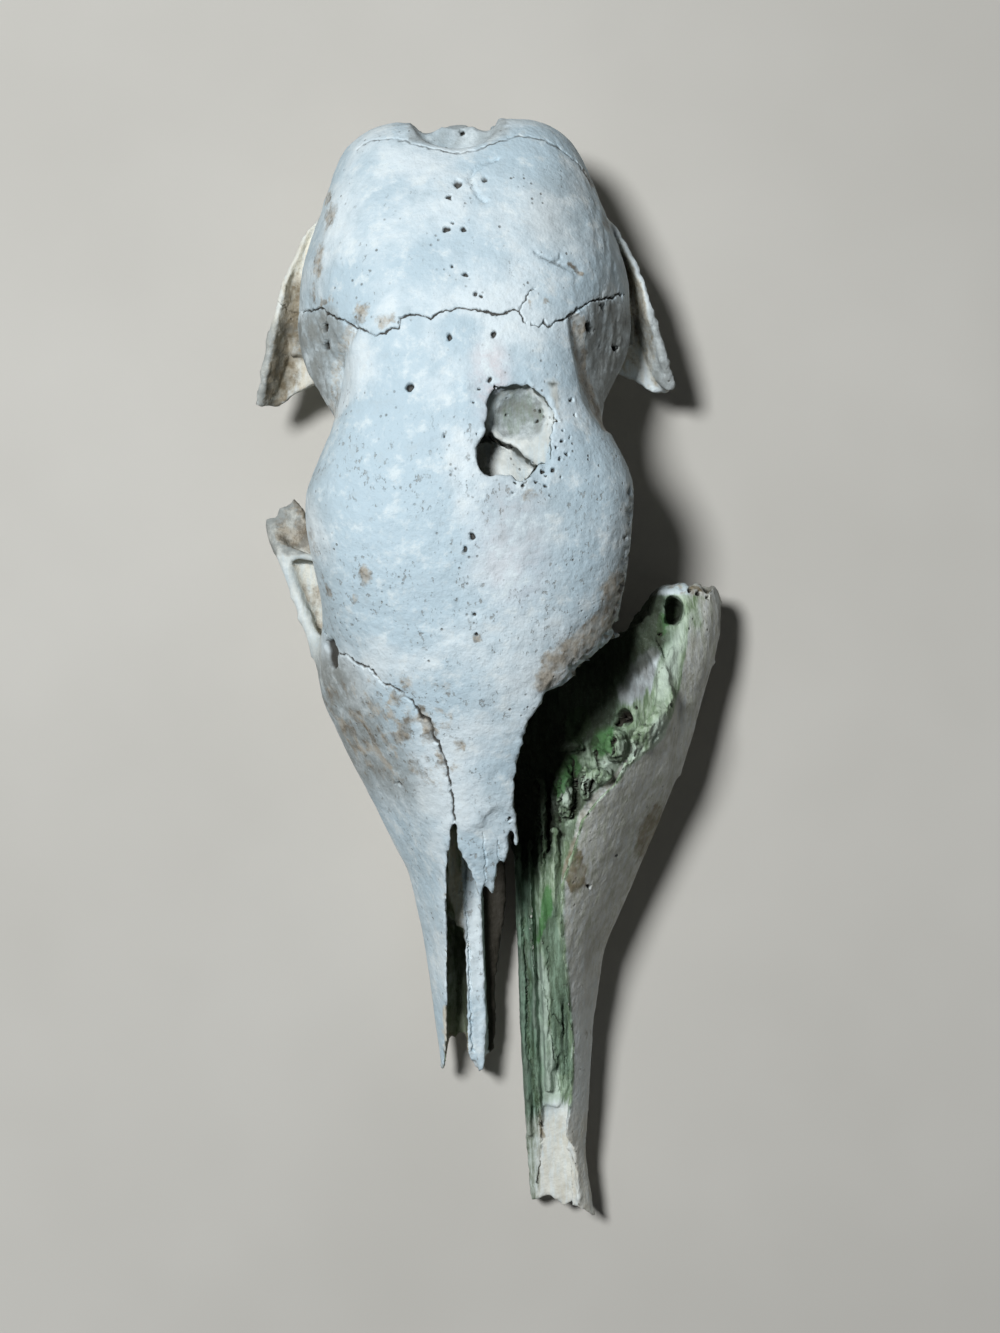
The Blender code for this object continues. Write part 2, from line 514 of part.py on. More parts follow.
def build_loose_jaw(skull):
    """The left upper jaw, cut from the whole skull along its own broken edge, then laid aside."""
    jaw = copy_of(skull, "loose_left_upper_jaw")
    far = 40.0
    top = JAW_BREAK[-1][1]
    keep = prism("upper_part", list(JAW_BREAK) + [(far, top), (far, -60.0), (4.9, -60.0)], 6.8, 60.0)
    combine(keep, prism("rim_part", [
        (6.6, -1.0), (6.6, 10.3), (8.3, 10.6), (10.2, 11.2), (12.2, 12.1), (13.2, 13.7), (14.0, 16.9),
        (far, 16.9), (far, -1.0),
    ], 6.6, 12.4), "UNION")
    combine(keep, loft("sloping_edge", [
        [(near, y, 11.8), (far, y, 11.8), (far, y, high), (near, y, high)]
        for y, near, high in ((0.8, 10.2, 22.0), (2.4, 10.6, 19.6), (4.2, 10.9, 17.4), (6.6, 11.1, 15.6),
                              (9.4, 11.2, 14.0), (11.8, 11.3, 12.7))
    ]), "UNION")
    combine(keep, prism("lower_part", [
        (-0.5, -60.0), (-0.5, -46.0), (-0.8, -38.0), (-1.0, -28.0), (-1.0, -12.0), (-0.5, 11.0),
        (2.6, 12.2), (6.4, 10.6), (8.4, 10.5), (10.3, 11.1), (12.3, 12.0), (13.3, 13.6),
        (14.1, 16.8), (far, 16.8), (far, -60.0),
    ], -5.0, 7.4), "UNION")
    combine(jaw, keep, "INTERSECT")
    combine(jaw, loft("cheek_root", [[(x, y, z) for x, z in outline] for y, outline in CHEEK_ROOT]), "UNION")
    combine(jaw, prism("front_break", [
        (-3.0, -45.1), (0.0, -45.1), (0.6, -44.7), (1.5, -44.7), (2.2, -45.2), (2.7, -45.8),
        (3.4, -45.2), (4.2, -45.3), (5.0, -46.0), (5.5, -46.6), (7.0, -46.6), (7.0, -60.0), (-3.0, -60.0),
    ], -5.0, 30.0), "DIFFERENCE")
    combine(jaw, prism("roof_front", [(-3.0, -60.0), (4.3, -60.0), (3.9, -41.0), (3.4, -39.5), (-3.0, -39.5)],
                       6.2, 30.0), "DIFFERENCE")
    combine(jaw, prism("cheek_hole", [
        (15.35 + 0.9 * math.cos(turn), 13.0 + 1.15 * math.sin(turn))
        for turn in (2 * math.pi * k / 12 for k in range(12))
    ], -5.0, 30.0), "DIFFERENCE")
    for name, thickness, low, path in LAMELLAE:
        combine(jaw, plate(name, path, thickness, low), "UNION")
    blade = [
        [(1.4, y, high), (wide, y, high - 0.8), (wide, y, high - 1.4), (1.4, y, high - 0.7)]
        for y, wide, high in ((-10.0, 3.0, 7.6), (-16.0, 3.4, 7.4), (-24.0, 3.3, 6.8), (-30.0, 3.1, 6.1),
                              (-31.8, 2.4, 5.9))
    ]
    combine(jaw, loft("blade", blade), "UNION")
    for name, centre, radii in SCROLLS:
        combine(jaw, ellipsoid(name, centre, radii, 7, 5), "UNION")
    jaw.data.transform(Matrix.Translation([MM * value for value in JAW_SHIFT]))
    return jaw


def build_tooth(name, side, number, shift):
    """A peg with a closed root, worn flat at the crown."""
    x, y = tooth_place(number)
    rings = []
    for z, radius in ((0.0, 0.8), (0.5, TOOTH_RADIUS), (4.6, TOOTH_RADIUS), (TOOTH_TOP, 0.7)):
        rings.append([
            (side * x + shift[0] + radius * math.cos(turn), y + shift[1] + radius * math.sin(turn), z)
            for turn in (2 * math.pi * k / 8 for k in range(8))
        ])
    return loft(name, rings)


def centre_on_base(pieces):
    """Moves every mesh so that the middle of the bounding box's underside is the origin."""
    corners = [vertex.co for piece in pieces for vertex in piece.data.vertices]
    low = Vector([min(corner[i] for corner in corners) for i in range(3)])
    high = Vector([max(corner[i] for corner in corners) for i in range(3)])
    back = Vector((-(low.x + high.x) / 2, -(low.y + high.y) / 2, -low.z))
    for piece in pieces:
        piece.data.transform(Matrix.Translation(back))


def paint(piece, colour, roughness):
    material = bpy.data.materials.new(piece.name)
    material.use_nodes = True
    shader = material.node_tree.nodes["Principled BSDF"]
    shader.inputs["Base Color"].default_value = (*colour, 1.0)
    shader.inputs["Roughness"].default_value = roughness
    piece.data.materials.clear()
    piece.data.materials.append(material)


for old in list(bpy.data.objects):
    bpy.data.objects.remove(old)

skull = whole_skull()
add_bulkhead(skull)
add_back_of_head(skull)
add_wings(skull)
add_base(skull)
add_sockets(skull)
pieces = [build_cranium(skull), build_loose_jaw(skull)]
bpy.data.objects.remove(skull)
for number in RIGHT_TEETH:
    pieces.append(build_tooth(f"upper_right_tooth_{number}", -1, number, (0.0, 0.0, 0.0)))
for number in LEFT_TEETH:
    pieces.append(build_tooth(f"upper_left_tooth_{number}", 1, number, JAW_SHIFT))
centre_on_base(pieces)
for piece in pieces:
    piece.data.shade_smooth()
    piece.data.set_sharp_from_angle(angle=SHARP_ANGLE)
    paint(piece, (0.56, 0.63, 0.66), 0.6)
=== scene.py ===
# %% Start
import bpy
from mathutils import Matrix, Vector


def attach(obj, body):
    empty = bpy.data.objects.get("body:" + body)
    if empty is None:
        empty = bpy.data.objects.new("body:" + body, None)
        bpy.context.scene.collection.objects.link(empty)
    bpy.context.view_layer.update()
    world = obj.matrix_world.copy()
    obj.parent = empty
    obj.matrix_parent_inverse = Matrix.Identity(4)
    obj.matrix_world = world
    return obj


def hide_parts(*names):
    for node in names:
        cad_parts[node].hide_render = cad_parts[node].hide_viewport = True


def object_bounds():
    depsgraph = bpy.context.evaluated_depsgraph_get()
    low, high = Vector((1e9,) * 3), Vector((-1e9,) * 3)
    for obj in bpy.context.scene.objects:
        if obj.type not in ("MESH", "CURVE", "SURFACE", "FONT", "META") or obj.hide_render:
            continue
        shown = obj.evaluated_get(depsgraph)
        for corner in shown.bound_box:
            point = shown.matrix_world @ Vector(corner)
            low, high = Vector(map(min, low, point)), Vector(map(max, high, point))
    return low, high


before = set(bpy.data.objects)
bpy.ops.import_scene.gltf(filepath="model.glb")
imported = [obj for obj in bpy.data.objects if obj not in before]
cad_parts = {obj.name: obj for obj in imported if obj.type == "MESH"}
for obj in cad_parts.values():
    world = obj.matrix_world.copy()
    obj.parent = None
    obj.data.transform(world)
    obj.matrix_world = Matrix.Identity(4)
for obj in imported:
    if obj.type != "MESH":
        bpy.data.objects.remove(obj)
box_at_load = [list(corner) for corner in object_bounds()]

# %% [markdown]
# A weathered armadillo skull
#
# The skull lies on a pale table and is seen from straight above. Its left upper jaw has
# broken off and lies beside the snout. The solids made earlier give every wall and its
# size. This script turns them into bone: a fine mesh, worn relief, sutures and pits, the
# colours that years in the open have left, and painted shade and light.

# %% Tools and units
import math
from contextlib import contextmanager

import bmesh
import bpy
import numpy as np
from mathutils import Vector, noise
from mathutils.bvhtree import BVHTree

MM = 0.001
# From the skull's own axes to the frame: the whole length is centred in the frame
SKULL_SHIFT = np.array([-1.8, 1.25, 0])
# Beyond every point of the skull
FAR = math.inf
scene = bpy.context.scene
print("pieces in the frame:", len(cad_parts))

# %% [markdown]
# Camera
#
# The photograph was taken from about 26 cm above the table, straight down, and turned by
# two degrees. A camera this close shows more of a low part's side than of a high one, so
# the distance matters as much as the angle.

# %% Camera
CAMERA_PLACE = (0.4, 1.25, 260)
CAMERA_TURN = -2.06
SENSOR_HEIGHT = 24
PIXELS_PER_SLOPE = 2572
PHOTO_HEIGHT = 1333
camera = bpy.data.objects.new("camera", bpy.data.cameras.new("camera"))
scene.collection.objects.link(camera)
camera.data.sensor_fit = "VERTICAL"
camera.data.sensor_height = SENSOR_HEIGHT
camera.data.lens = SENSOR_HEIGHT * PIXELS_PER_SLOPE / PHOTO_HEIGHT
camera.data.clip_start = 0.01
camera.location = [MM * value for value in CAMERA_PLACE]
camera.rotation_euler = (0, 0, math.radians(CAMERA_TURN))
scene.camera = camera
print("lens in mm:", round(camera.data.lens, 1))

# %% [markdown]
# Light and table
#
# A lamp about 43 cm away, high on the left and a little behind, lit the skull. It leaves
# the right flanks and the hollow of the loose jaw dark, and the table dims toward the
# right. One round area light stands for it, and a weak even sky keeps the hollows readable.

# %% Light and table
LAMP_PLACE = (-128, 98, 402)
LAMP_WIDTH = 90
LAMP_POWER = 1.95
lamp = bpy.data.objects.new("lamp", bpy.data.lights.new("lamp", "AREA"))
lamp.data.shape = "DISK"
lamp.data.size = LAMP_WIDTH * MM
lamp.data.energy = LAMP_POWER
lamp.data.color = (0.98, 1, 1.02)
lamp.location = [MM * value for value in LAMP_PLACE]
lamp.rotation_euler = (-lamp.location).to_track_quat("-Z", "Y").to_euler()
scene.collection.objects.link(lamp)
world = bpy.data.worlds.new("even sky")
world.use_nodes = True
world.node_tree.nodes["Background"].inputs["Color"].default_value = (0.93, 0.96, 1, 1)
world.node_tree.nodes["Background"].inputs["Strength"].default_value = 0.05
scene.world = world
scene.view_settings.view_transform = "Standard"

TABLE_HALF_WIDTH = 600
TABLE_TOP = -0.05
bm = bmesh.new()
bmesh.ops.create_grid(bm, x_segments=1, y_segments=1, size=TABLE_HALF_WIDTH * MM)
table_mesh = bpy.data.meshes.new("table")
bm.to_mesh(table_mesh)
bm.free()
table = bpy.data.objects.new("table", table_mesh)
table.location.z = TABLE_TOP * MM
scene.collection.objects.link(table)
print("lamp and table ready")

# %% [markdown]
# Shader arithmetic
#
# Bone colour is mostly sums and mixes of patterns. Wrapping a node's output in a small
# class lets these be written as ordinary sums, and each sum adds the nodes it needs.

# %% Shader arithmetic
def feed(node, inputs):
    """Gives a node's inputs their wires or plain values."""
    for name, value in inputs.items():
        if isinstance(value, Wire):
            node.id_data.links.new(value.socket, node.inputs[name])
        else:
            node.inputs[name].default_value = value


class Wire:
    """One output of a shader node. Sums of wires add Math nodes."""

    def __init__(self, tree, socket):
        self.tree = tree
        self.socket = socket

    def make(self, kind, inputs, output=0, **settings):
        """Any other node of this tree, from its settings and then its inputs."""
        made = self.tree.nodes.new(kind)
        for key, value in settings.items():
            setattr(made, key, value)
        feed(made, inputs)
        return Wire(self.tree, made.outputs[output])

    def sum(self, operation, first, second):
        return self.make("ShaderNodeMath", {0: first, 1: second}, operation=operation)

    def __add__(self, other):
        return self.sum("ADD", self, other)

    def __sub__(self, other):
        return self.sum("SUBTRACT", self, other)

    def __rsub__(self, other):
        return self.sum("SUBTRACT", other, self)

    def __mul__(self, other):
        return self.sum("MULTIPLY", self, other)

    __radd__ = __add__
    __rmul__ = __mul__

    def step(self, low, high):
        """0 below low, 1 above high, and smooth between."""
        limits = {0: self, 1: low, 2: high, 3: 0, 4: 1}
        return self.make("ShaderNodeMapRange", limits, interpolation_type="SMOOTHSTEP")

    def mix(self, *colours):
        """The first colour where this wire is 0, the second where it is 1."""
        here, there = (item if isinstance(item, Wire) else (*item, 1) for item in colours)
        return self.make("ShaderNodeMix", {0: self, 6: here, 7: there}, 2, data_type="RGBA")


def layered(base, layers):
    """A colour with others laid over it, each with the share of its wire."""
    for share, tint in layers:
        base = share.mix(base, tint)
    return base


print("wire methods:", [name for name in vars(Wire) if not name.startswith("__")])

# %% [markdown]
# Patterns in code
#
# The same smooth noise serves for worn relief and for the edges of stains. Distances to a
# drawn line give sutures and cracks, and distances to a spot give pits.

# %% Patterns in code
def waves(points, size, seed=0, octaves=2):
    """Smooth noise from about -1 to 1. size is the width of a lump in mm, one value or one for
    each axis."""
    places = points / np.asarray(size, float) + seed
    return np.array([noise.fractal(place, 1, 2, octaves) for place in places.tolist()])


def rise(values, low, high):
    """0 below low, 1 above high, and smooth between."""
    share = np.clip((values - low) / (high - low), 0, 1)
    return share * share * (3 - 2 * share)


def fade(values, low, high):
    """1 below low, 0 above high, and smooth between."""
    return 1 - rise(values, low, high)


def wander(points, amount, size, seeds):
    """Places from above, shifted by small noise, so that a drawn border comes out jagged."""
    return points[:, :2] + np.stack([amount * waves(points, size, seed, 3) for seed in seeds], 1)


def in_box(points, *ranges):
    """True between the two values of x, of y and of z."""
    low, high = np.array(ranges, float).T
    return ((points > low) & (points < high)).all(1)


def line_distance(points, line):
    """Distance seen from above from each point to the nearest place of a drawn line."""
    nearest = np.full(len(points), 1e9)
    for start, end in zip(np.array(line)[:-1], np.array(line)[1:]):
        along = end - start
        start_to_point = points[:, :2] - start
        share = np.clip((start_to_point @ along) / max(along @ along, 1e-9), 0, 1)
        nearest = np.minimum(nearest, np.hypot(*(start_to_point - share[:, None] * along).T))
    return nearest


def near_line(places, line, inner, outer):
    """1 within inner of a drawn line, falling to 0 at outer."""
    return fade(line_distance(places, line), inner, outer)


def read_off(values, line, given=0):
    """The other coordinate of a drawn line, where coordinate number given has these values."""
    return np.interp(values, [point[given] for point in line], [point[1 - given] for point in line])


def point_distance(places, x, y):
    return np.hypot(places[:, 0] - x, places[:, 1] - y)


def spot(places, x, y, wide, long, turn=0):
    """1 in the middle of an oval spot, falling to 0 at its edge."""
    c, s = math.cos(math.radians(turn)), math.sin(math.radians(turn))
    dx = places[:, 0] - x
    dy = places[:, 1] - y
    across = (dx * c + dy * s) / wide
    along = (dy * c - dx * s) / long
    return fade(np.hypot(across, along), 0.35, 1)


print("patterns ready")

# %% [markdown]
# A fine, even mesh
#
# The solids have facets a few millimetres wide. A voxel remesh lays an even grid of small
# faces over them, and a smoothing that spares the sharp broken rims melts the facets
# away. Only outward edges count as rims, so a wing runs into the braincase in a fillet.

# %% Mesh readers
def read_items(items, field, width, number=np.float32):
    flat = np.empty(width * len(items), number)
    items.foreach_get(field, flat)
    return flat.reshape(-1, width)


def points_of(mesh):
    return read_items(mesh.vertices, "co", 3).astype(np.float64) / MM


def normals_of(mesh):
    return read_items(mesh.vertices, "normal", 3).astype(np.float64)


def edges_of(mesh):
    return read_items(mesh.edges, "vertices", 2, np.int32)


def read_piece(piece):
    """A piece's points in the frame, its normals, and its points on the skull's own axes."""
    points = points_of(piece.data)
    return points, normals_of(piece.data), points - SKULL_SHIFT


BOX_LOW, BOX_HIGH = np.array(box_at_load) / MM
BOX_MARGIN = 0.02


def move_points(mesh, points):
    """Writes the points back, kept inside the box of the solids."""
    points = np.clip(points, BOX_LOW + BOX_MARGIN, BOX_HIGH - BOX_MARGIN)
    mesh.vertices.foreach_set("co", (points * MM).astype(np.float32).ravel())
    mesh.update()


def settle(piece):
    """Makes the result of the modifiers the mesh itself."""
    bpy.context.view_layer.update()
    graph = bpy.context.evaluated_depsgraph_get()
    mesh = bpy.data.meshes.new_from_object(piece.evaluated_get(graph))
    piece.modifiers.clear()
    piece.data = mesh


@contextmanager
def edited(piece):
    """Opens a piece's mesh for bmesh operators and writes it back afterwards."""
    bm = bmesh.new()
    bm.from_mesh(piece.data)
    yield bm
    bm.to_mesh(piece.data)
    bm.free()


# %% Fine copy
SAME_POINT = 0.002 * MM


def copy_solid(name, node):
    """A solid's own shape as a new piece, still in loose triangles."""
    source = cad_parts[node]
    piece = bpy.data.objects.new(name, source.data.copy())
    piece.data.transform(source.matrix_world)
    piece.data.materials.clear()
    scene.collection.objects.link(piece)
    return piece


def fine_copy(name, node, voxel, grown, notches):
    """A solid with small bone forms grown on and notches cut, as one even mesh."""
    piece = copy_solid(name, node)
    with edited(piece) as bm:
        bmesh.ops.remove_doubles(bm, verts=bm.verts[:], dist=SAME_POINT)
    for notch in notches:
        cut = piece.modifiers.new("notch", "BOOLEAN")
        cut.operation = "DIFFERENCE"
        cut.object = notch
        settle(piece)
        bpy.data.objects.remove(notch)
    with edited(piece) as bm:
        for form in grown:
            bm.from_mesh(form.data)
            bpy.data.objects.remove(form)
    remesh = piece.modifiers.new("even", "REMESH")
    remesh.mode = "VOXEL"
    remesh.voxel_size = voxel * MM
    settle(piece)
    return piece


# %% Smoothing
RIM_ANGLE = 26
RIM_RINGS = 2


def relax(points, edges, weight, rounds):
    """Moves each point toward the middle of its neighbours, again and again."""
    first, second = edges.T
    count = np.maximum(np.bincount(edges.ravel(), minlength=len(points)), 1)
    for _ in range(rounds):
        sums = [
            np.bincount(first, points[second, k], len(points))
            + np.bincount(second, points[first, k], len(points))
            for k in range(3)
        ]
        middle = np.stack(sums, 1) / count[:, None]
        points = points + (0.5 * weight)[:, None] * (middle - points)
    return points


def rim_mask(points, normals, edges):
    """1 at sharp outward edges and for a few rings of faces round them, fading out."""
    first, second = edges.T
    turn = (normals[first] * normals[second]).sum(1)
    outward = ((normals[second] - normals[first]) * (points[second] - points[first])).sum(1) > 0
    mask = np.zeros(len(points))
    mask[edges[(turn < math.cos(math.radians(RIM_ANGLE))) & outward]] = 1
    for _ in range(RIM_RINGS):
        wider = mask.copy()
        np.maximum.at(wider, first, mask[second])
        np.maximum.at(wider, second, mask[first])
        mask = wider
    return relax(np.repeat(mask[:, None], 3, 1), edges, np.ones(len(mask)), 6)[:, 0]


def melt_facets(piece, rounds):
    mesh = piece.data
    points = points_of(mesh)
    edges = edges_of(mesh)
    mask = rim_mask(points, normals_of(mesh), edges)
    points = relax(points, edges, np.clip(1.15 - 1.6 * mask, 0, 1), rounds)
    points = relax(points, edges, np.ones(len(points)), 2)
    move_points(mesh, points)
    ragged = 0.13 * waves(points, (0.7, 0.7, 1.1), 2.9, 3) * mask
    move_points(mesh, points + ragged[:, None] * normals_of(mesh))
    print(piece.name, "points", len(points), "kept sharp", round(float((mask > 0.5).mean()), 3))


# %% [markdown]
# Where the surface is open
#
# Brown stains, green growth and the yellow of old bone collect in hollows, and closed
# hollows get a painted near-black shade, while rain and sun bleach what faces the sky.
# Rays from each point tell the two apart: one straight up finds the sky, and a fan round
# the normal finds how open the place is.

# %% Openness
FAN_RAYS = 16
RAY_START = 0.05
RAY_REACH = 14
FAN = []
for ray_number in range(FAN_RAYS):
    height = 1 - (2 * ray_number + 1) / FAN_RAYS
    ring = math.sqrt(1 - height * height)
    turn = ray_number * math.pi * (3 - math.sqrt(5))
    FAN.append(Vector((ring * math.cos(turn), ring * math.sin(turn), height)))


def sky_and_openness(piece):
    """Arrays: 1 where nothing lies straight above, and the share of open directions."""
    bpy.context.view_layer.update()
    tree = BVHTree.FromObject(piece, bpy.context.evaluated_depsgraph_get())
    up = Vector((0, 0, 1))
    sky = []
    opened = []
    fan = FAN
    for vertex in piece.data.vertices:
        normal = vertex.normal
        start = vertex.co + normal * (RAY_START * MM)
        sky.append(tree.ray_cast(start, up, 1)[0] is None and normal.z > 0.05)
        rays = [ray for ray in fan if ray.dot(normal) > 0.15]
        seen = [tree.ray_cast(start, ray, RAY_REACH * MM)[0] is None for ray in rays]
        opened.append(sum(seen) / max(len(seen), 1))
    return np.array(sky, float), np.array(opened)


# %% [markdown]
# Sutures, cracks and pits of the cranium
#
# The bones of the braincase meet in open, jagged sutures. Their lines and the small holes
# for vessels are written down in millimetres from the skull's midline. Each
# suture has the half width of its gap and its depth.

# %% Cranium lines and pits
CORONAL = [
    (-15.3, 34.3), (-13.4, 34.1), (-12.5, 33.2), (-10.7, 32.1), (-9.3, 31.2), (-8.2, 30.6),
    (-7.1, 30.6), (-6.7, 31.1), (-5.9, 31), (-5.8, 32), (-4.8, 32.2), (-3.4, 32), (-2.9, 31.8),
    (-2.1, 32.3), (-0.4, 32.6), (1.5, 32.3), (3.1, 31.9), (4, 32.1), (5.1, 32.4), (5.5, 31.2),
    (6.1, 31.1), (6.9, 30.8), (7.3, 31.3), (7.7, 30.8), (9.1, 31.5), (10.5, 32.4), (12, 33.5),
    (13.6, 34.1), (15.1, 34.9),
]
CORONAL_ON_WING = [(-18.6, 36.2), (-17.2, 35.5), (-15.3, 34.3)]
CORONAL_BRANCH = [(5.1, 32.4), (5.7, 33.2), (6.2, 34.1), (6.7, 34.3)]
LAMBDOID = [
    (-9.6, 49.2), (-8.2, 49.9), (-5.8, 49.8), (-4, 49), (-1.7, 48.3), (-0.4, 48), (1.1, 48),
    (2.6, 48.5), (4, 49.1), (5.9, 49.6), (8.2, 49.2), (10, 48.3), (11.5, 47.1), (12.5, 45.6),
]
MAXILLA_SUTURE = [
    (-12.9, 1.6), (-12.1, 1.6), (-11.5, 1), (-10.4, 0.4), (-9.9, 0.4), (-9.4, -0.3), (-8.9, -1),
    (-7.7, -1.6), (-6.8, -2.2), (-5.7, -3.4), (-5.3, -4.3), (-4.5, -4.8), (-4.1, -6.4), (-3.4, -8.3),
    (-2.9, -10.5), (-2.7, -12.2), (-2.7, -14.4),
]
VOMER_GROOVE = [(-1.87, -18.5), (-1.87, -30), (-1.85, -38)]
ARC_SCAR = [(3.6, 47.1), (2.3, 46.7), (1.5, 46), (1.1, 45.3), (1.3, 44.2), (1.8, 43.3), (2.4, 42.8)]
FORKED_SCAR = [(6.8, 37.7), (8.6, 36.8), (9.1, 37.5), (8.6, 36.8), (10.7, 36.1)]
SHARD_SEAMS = [[(0.1, -15.6), (0.14, -18), (0.08, -20.3)], [(1.35, -16), (1.45, -17.2), (1.55, -18.4)]]
CHEEK_CRACK = [(-15.2, 5), (-14.6, 4.2), (-14.1, 3.5), (-13.7, 3)]
EYE_SLIT = [(-13.8, 2.7), (-13.55, 1.9), (-13.65, 0.7)]
# Line, half width, depth, darkness
CRANIUM_LINES = [
    (CORONAL, 0.1, 0.3, 1), (CORONAL_ON_WING, 0.07, 0.12, 0.5), (VOMER_GROOVE, 0.12, 0.3, 0.34),
    (CORONAL_BRANCH, 0.09, 0.2, 0.7), (LAMBDOID, 0.12, 0.1, 0.6),
    (MAXILLA_SUTURE[:10], 0.1, 0.25, 0.95), (MAXILLA_SUTURE[9:], 0.15, 0.4, 1),
    (ARC_SCAR, 0.22, 0.26, 0.3), (FORKED_SCAR, 0.18, 0.2, 0.5),
    (CHEEK_CRACK, 0.07, 0.12, 0.6), (EYE_SLIT, 0.48, 0.5, 1),
] + [(seam, 0.07, 0.14, 0.32) for seam in SHARD_SEAMS]
# Middle x and y, radius, depth
CRANIUM_PITS = [
    (-0.1, 44.7, 0.42, 0.5), (-0.9, 43.3, 0.28, 0.4), (-1.2, 40.2, 0.3, 0.45), (0.3, 40.1, 0.26, 0.4),
    (-0.7, 40.8, 0.2, 0.3), (0.3, 35.7, 0.3, 0.4), (-0.9, 36.5, 0.22, 0.3), (1.2, 33.9, 0.2, 0.3),
    (1.7, 33.7, 0.2, 0.3), (2.7, 30.1, 0.3, 0.4), (-1.4, 30, 0.32, 0.45), (2.2, 25.9, 0.3, 0.35),
    (-5.1, 25.5, 0.36, 0.5), (-2.2, 20.9, 0.18, 0.3), (0.1, 11.8, 0.34, 0.4), (-0.6, 10.6, 0.28, 0.3),
    (2.3, 45.1, 0.36, 0.25), (0.4, 50.7, 0.3, 0.5), (-13, 32.2, 0.4, 0.7), (-13, 30.6, 0.42, 0.7),
    (12.9, 33.3, 0.3, 0.5), (11.6, 31, 0.45, 0.7), (14.2, 29.8, 0.32, 0.5), (-7.8, -10.8, 0.3, 0.4),
    (1.3, 25.1, 0.16, 0.3), (2.6, 25.3, 0.2, 0.4), (0.7, 23.9, 0.14, 0.3), (0.9, 21, 0.14, 0.3),
    (0.15, 4.7, 0.22, 0.3), (0.2, 2.9, 0.2, 0.3), (8.2, 22, 0.22, 0.3), (8.5, 20.3, 0.2, 0.3),
    (9.3, 20.6, 0.14, 0.25), (5.1, 16.6, 0.22, 0.3), (6.9, 16.2, 0.2, 0.3), (7.6, 17.6, 0.24, 0.35),
    (8.4, 18.6, 0.16, 0.3), (9.6, 24, 0.18, 0.25), (9.9, 22.6, 0.16, 0.25), (3.9, 15.6, 0.16, 0.25),
    (4.2, 16.5, 0.2, 0.3), (4.9, 16.2, 0.18, 0.3), (6.6, 17.5, 0.22, 0.35), (6.9, 17, 0.16, 0.3),
    (6, 16.5, 0.18, 0.3), (6.6, 23.2, 0.2, 0.3), (6.3, 22.2, 0.18, 0.3), (3.6, 23, 0.14, 0.25),
    (8, 19.6, 0.15, 0.3), (8.7, 21.3, 0.14, 0.3), (9, 19, 0.16, 0.3), (8.3, 17, 0.15, 0.3),
    (7.3, 15.4, 0.14, 0.3), (2.6, -14.3, 0.2, 0.28),
]
print("lines", len(CRANIUM_LINES), "pits", len(CRANIUM_PITS))

# %% [markdown]
# The mesh gets finer only along those lines and pits, because a groove a fifth of a
# millimetre wide would vanish between faces three times as wide.

# %% Finer mesh along the marks
def jagged(points):
    """Places from above, shifted just enough to make a suture's line jagged."""
    return wander(points, 0.2, 0.7, (1.7, 8.2))


def nearest_mark(places, lines, pits):
    gap = np.full(len(places), 1e9)
    for line, half, _, _ in lines:
        gap = np.minimum(gap, line_distance(places, line) - half)
    for x, y, radius, _ in pits:
        to_ring = np.abs(point_distance(places, x, y) - 0.5 * radius)
        gap = np.minimum(gap, to_ring - 0.5 * radius)
    return gap


def refine(piece, lines, pits, area, reaches):
    """Halves the edges within each reach of a mark, the last time along narrow marks only."""
    for reach, longest, widest in reaches:
        _, normals, local = read_piece(piece)
        edges = edges_of(piece.data)
        narrow = [line for line in lines if line[1] < widest]
        small = [pit for pit in pits if pit[2] < 3 * widest]
        chosen = (nearest_mark(jagged(local), narrow, small) < reach) & area(local, normals)
        length = np.linalg.norm(local[edges[:, 0]] - local[edges[:, 1]], axis=1)
        picked = np.flatnonzero(chosen[edges].any(1) & (length > longest)).tolist()
        with edited(piece) as bm:
            bm.edges.ensure_lookup_table()
            halved = [bm.edges[i] for i in picked]
            bmesh.ops.subdivide_edges(bm, edges=halved, cuts=1, use_grid_fill=True)
            bmesh.ops.triangulate(bm, faces=[face for face in bm.faces if len(face.verts) > 3])
    print(piece.name, "triangles after refining", len(piece.data.polygons))


def engrave(piece, lines, pits, area):
    """Presses the marks in and returns how dark they are at each point: the dark of the lines, and a
    painted shade in the pits that grows with their depth.
    """
    points, normals, local = read_piece(piece)
    allowed = area(local, normals).astype(float)
    places = jagged(local)
    depth = np.zeros(len(points))
    dark = np.zeros(len(points))
    for line, half, deep, shade in lines:
        share = near_line(places, line, 0.25 * half, 1.5 * half)
        depth = np.maximum(depth, deep * share)
        dark = np.maximum(dark, shade * share)
    dark *= np.clip(0.8 + 0.5 * waves(local, 1.6, 5.3), 0.4, 1)
    for x, y, radius, deep in pits:
        share = fade(point_distance(places, x, y), 0.4 * radius, 1.2 * radius)
        depth = np.maximum(depth, 1.3 * deep * share)
        # Painted shade: a pit is darker the deeper it is
        dark = np.maximum(dark, share * min(1, 2.6 * deep))
    move_points(piece.data, points - (depth * allowed)[:, None] * normals)
    return dark * allowed


def thin_out(piece, most):
    """Merges faces where the surface is flat until about this many triangles are left."""
    faces = 2 * len(piece.data.polygons)
    if faces > most:
        fewer = piece.modifiers.new("thin out", "DECIMATE")
        fewer.ratio = most / faces
        settle(piece)
    with edited(piece) as bm:
        bmesh.ops.triangulate(bm, faces=bm.faces[:])
    print(piece.name, "triangles", len(piece.data.polygons))


# %% [markdown]
# Inside the hole in the forehead
#
# Through the hole one sees a smooth round dish, the back of the nose chamber, with a thin
# raised edge in front of it and a deeper hollow beyond. It is a sheet of bone, so it is
# made from a grid: one function gives each point its height, and the sheet is thickened.

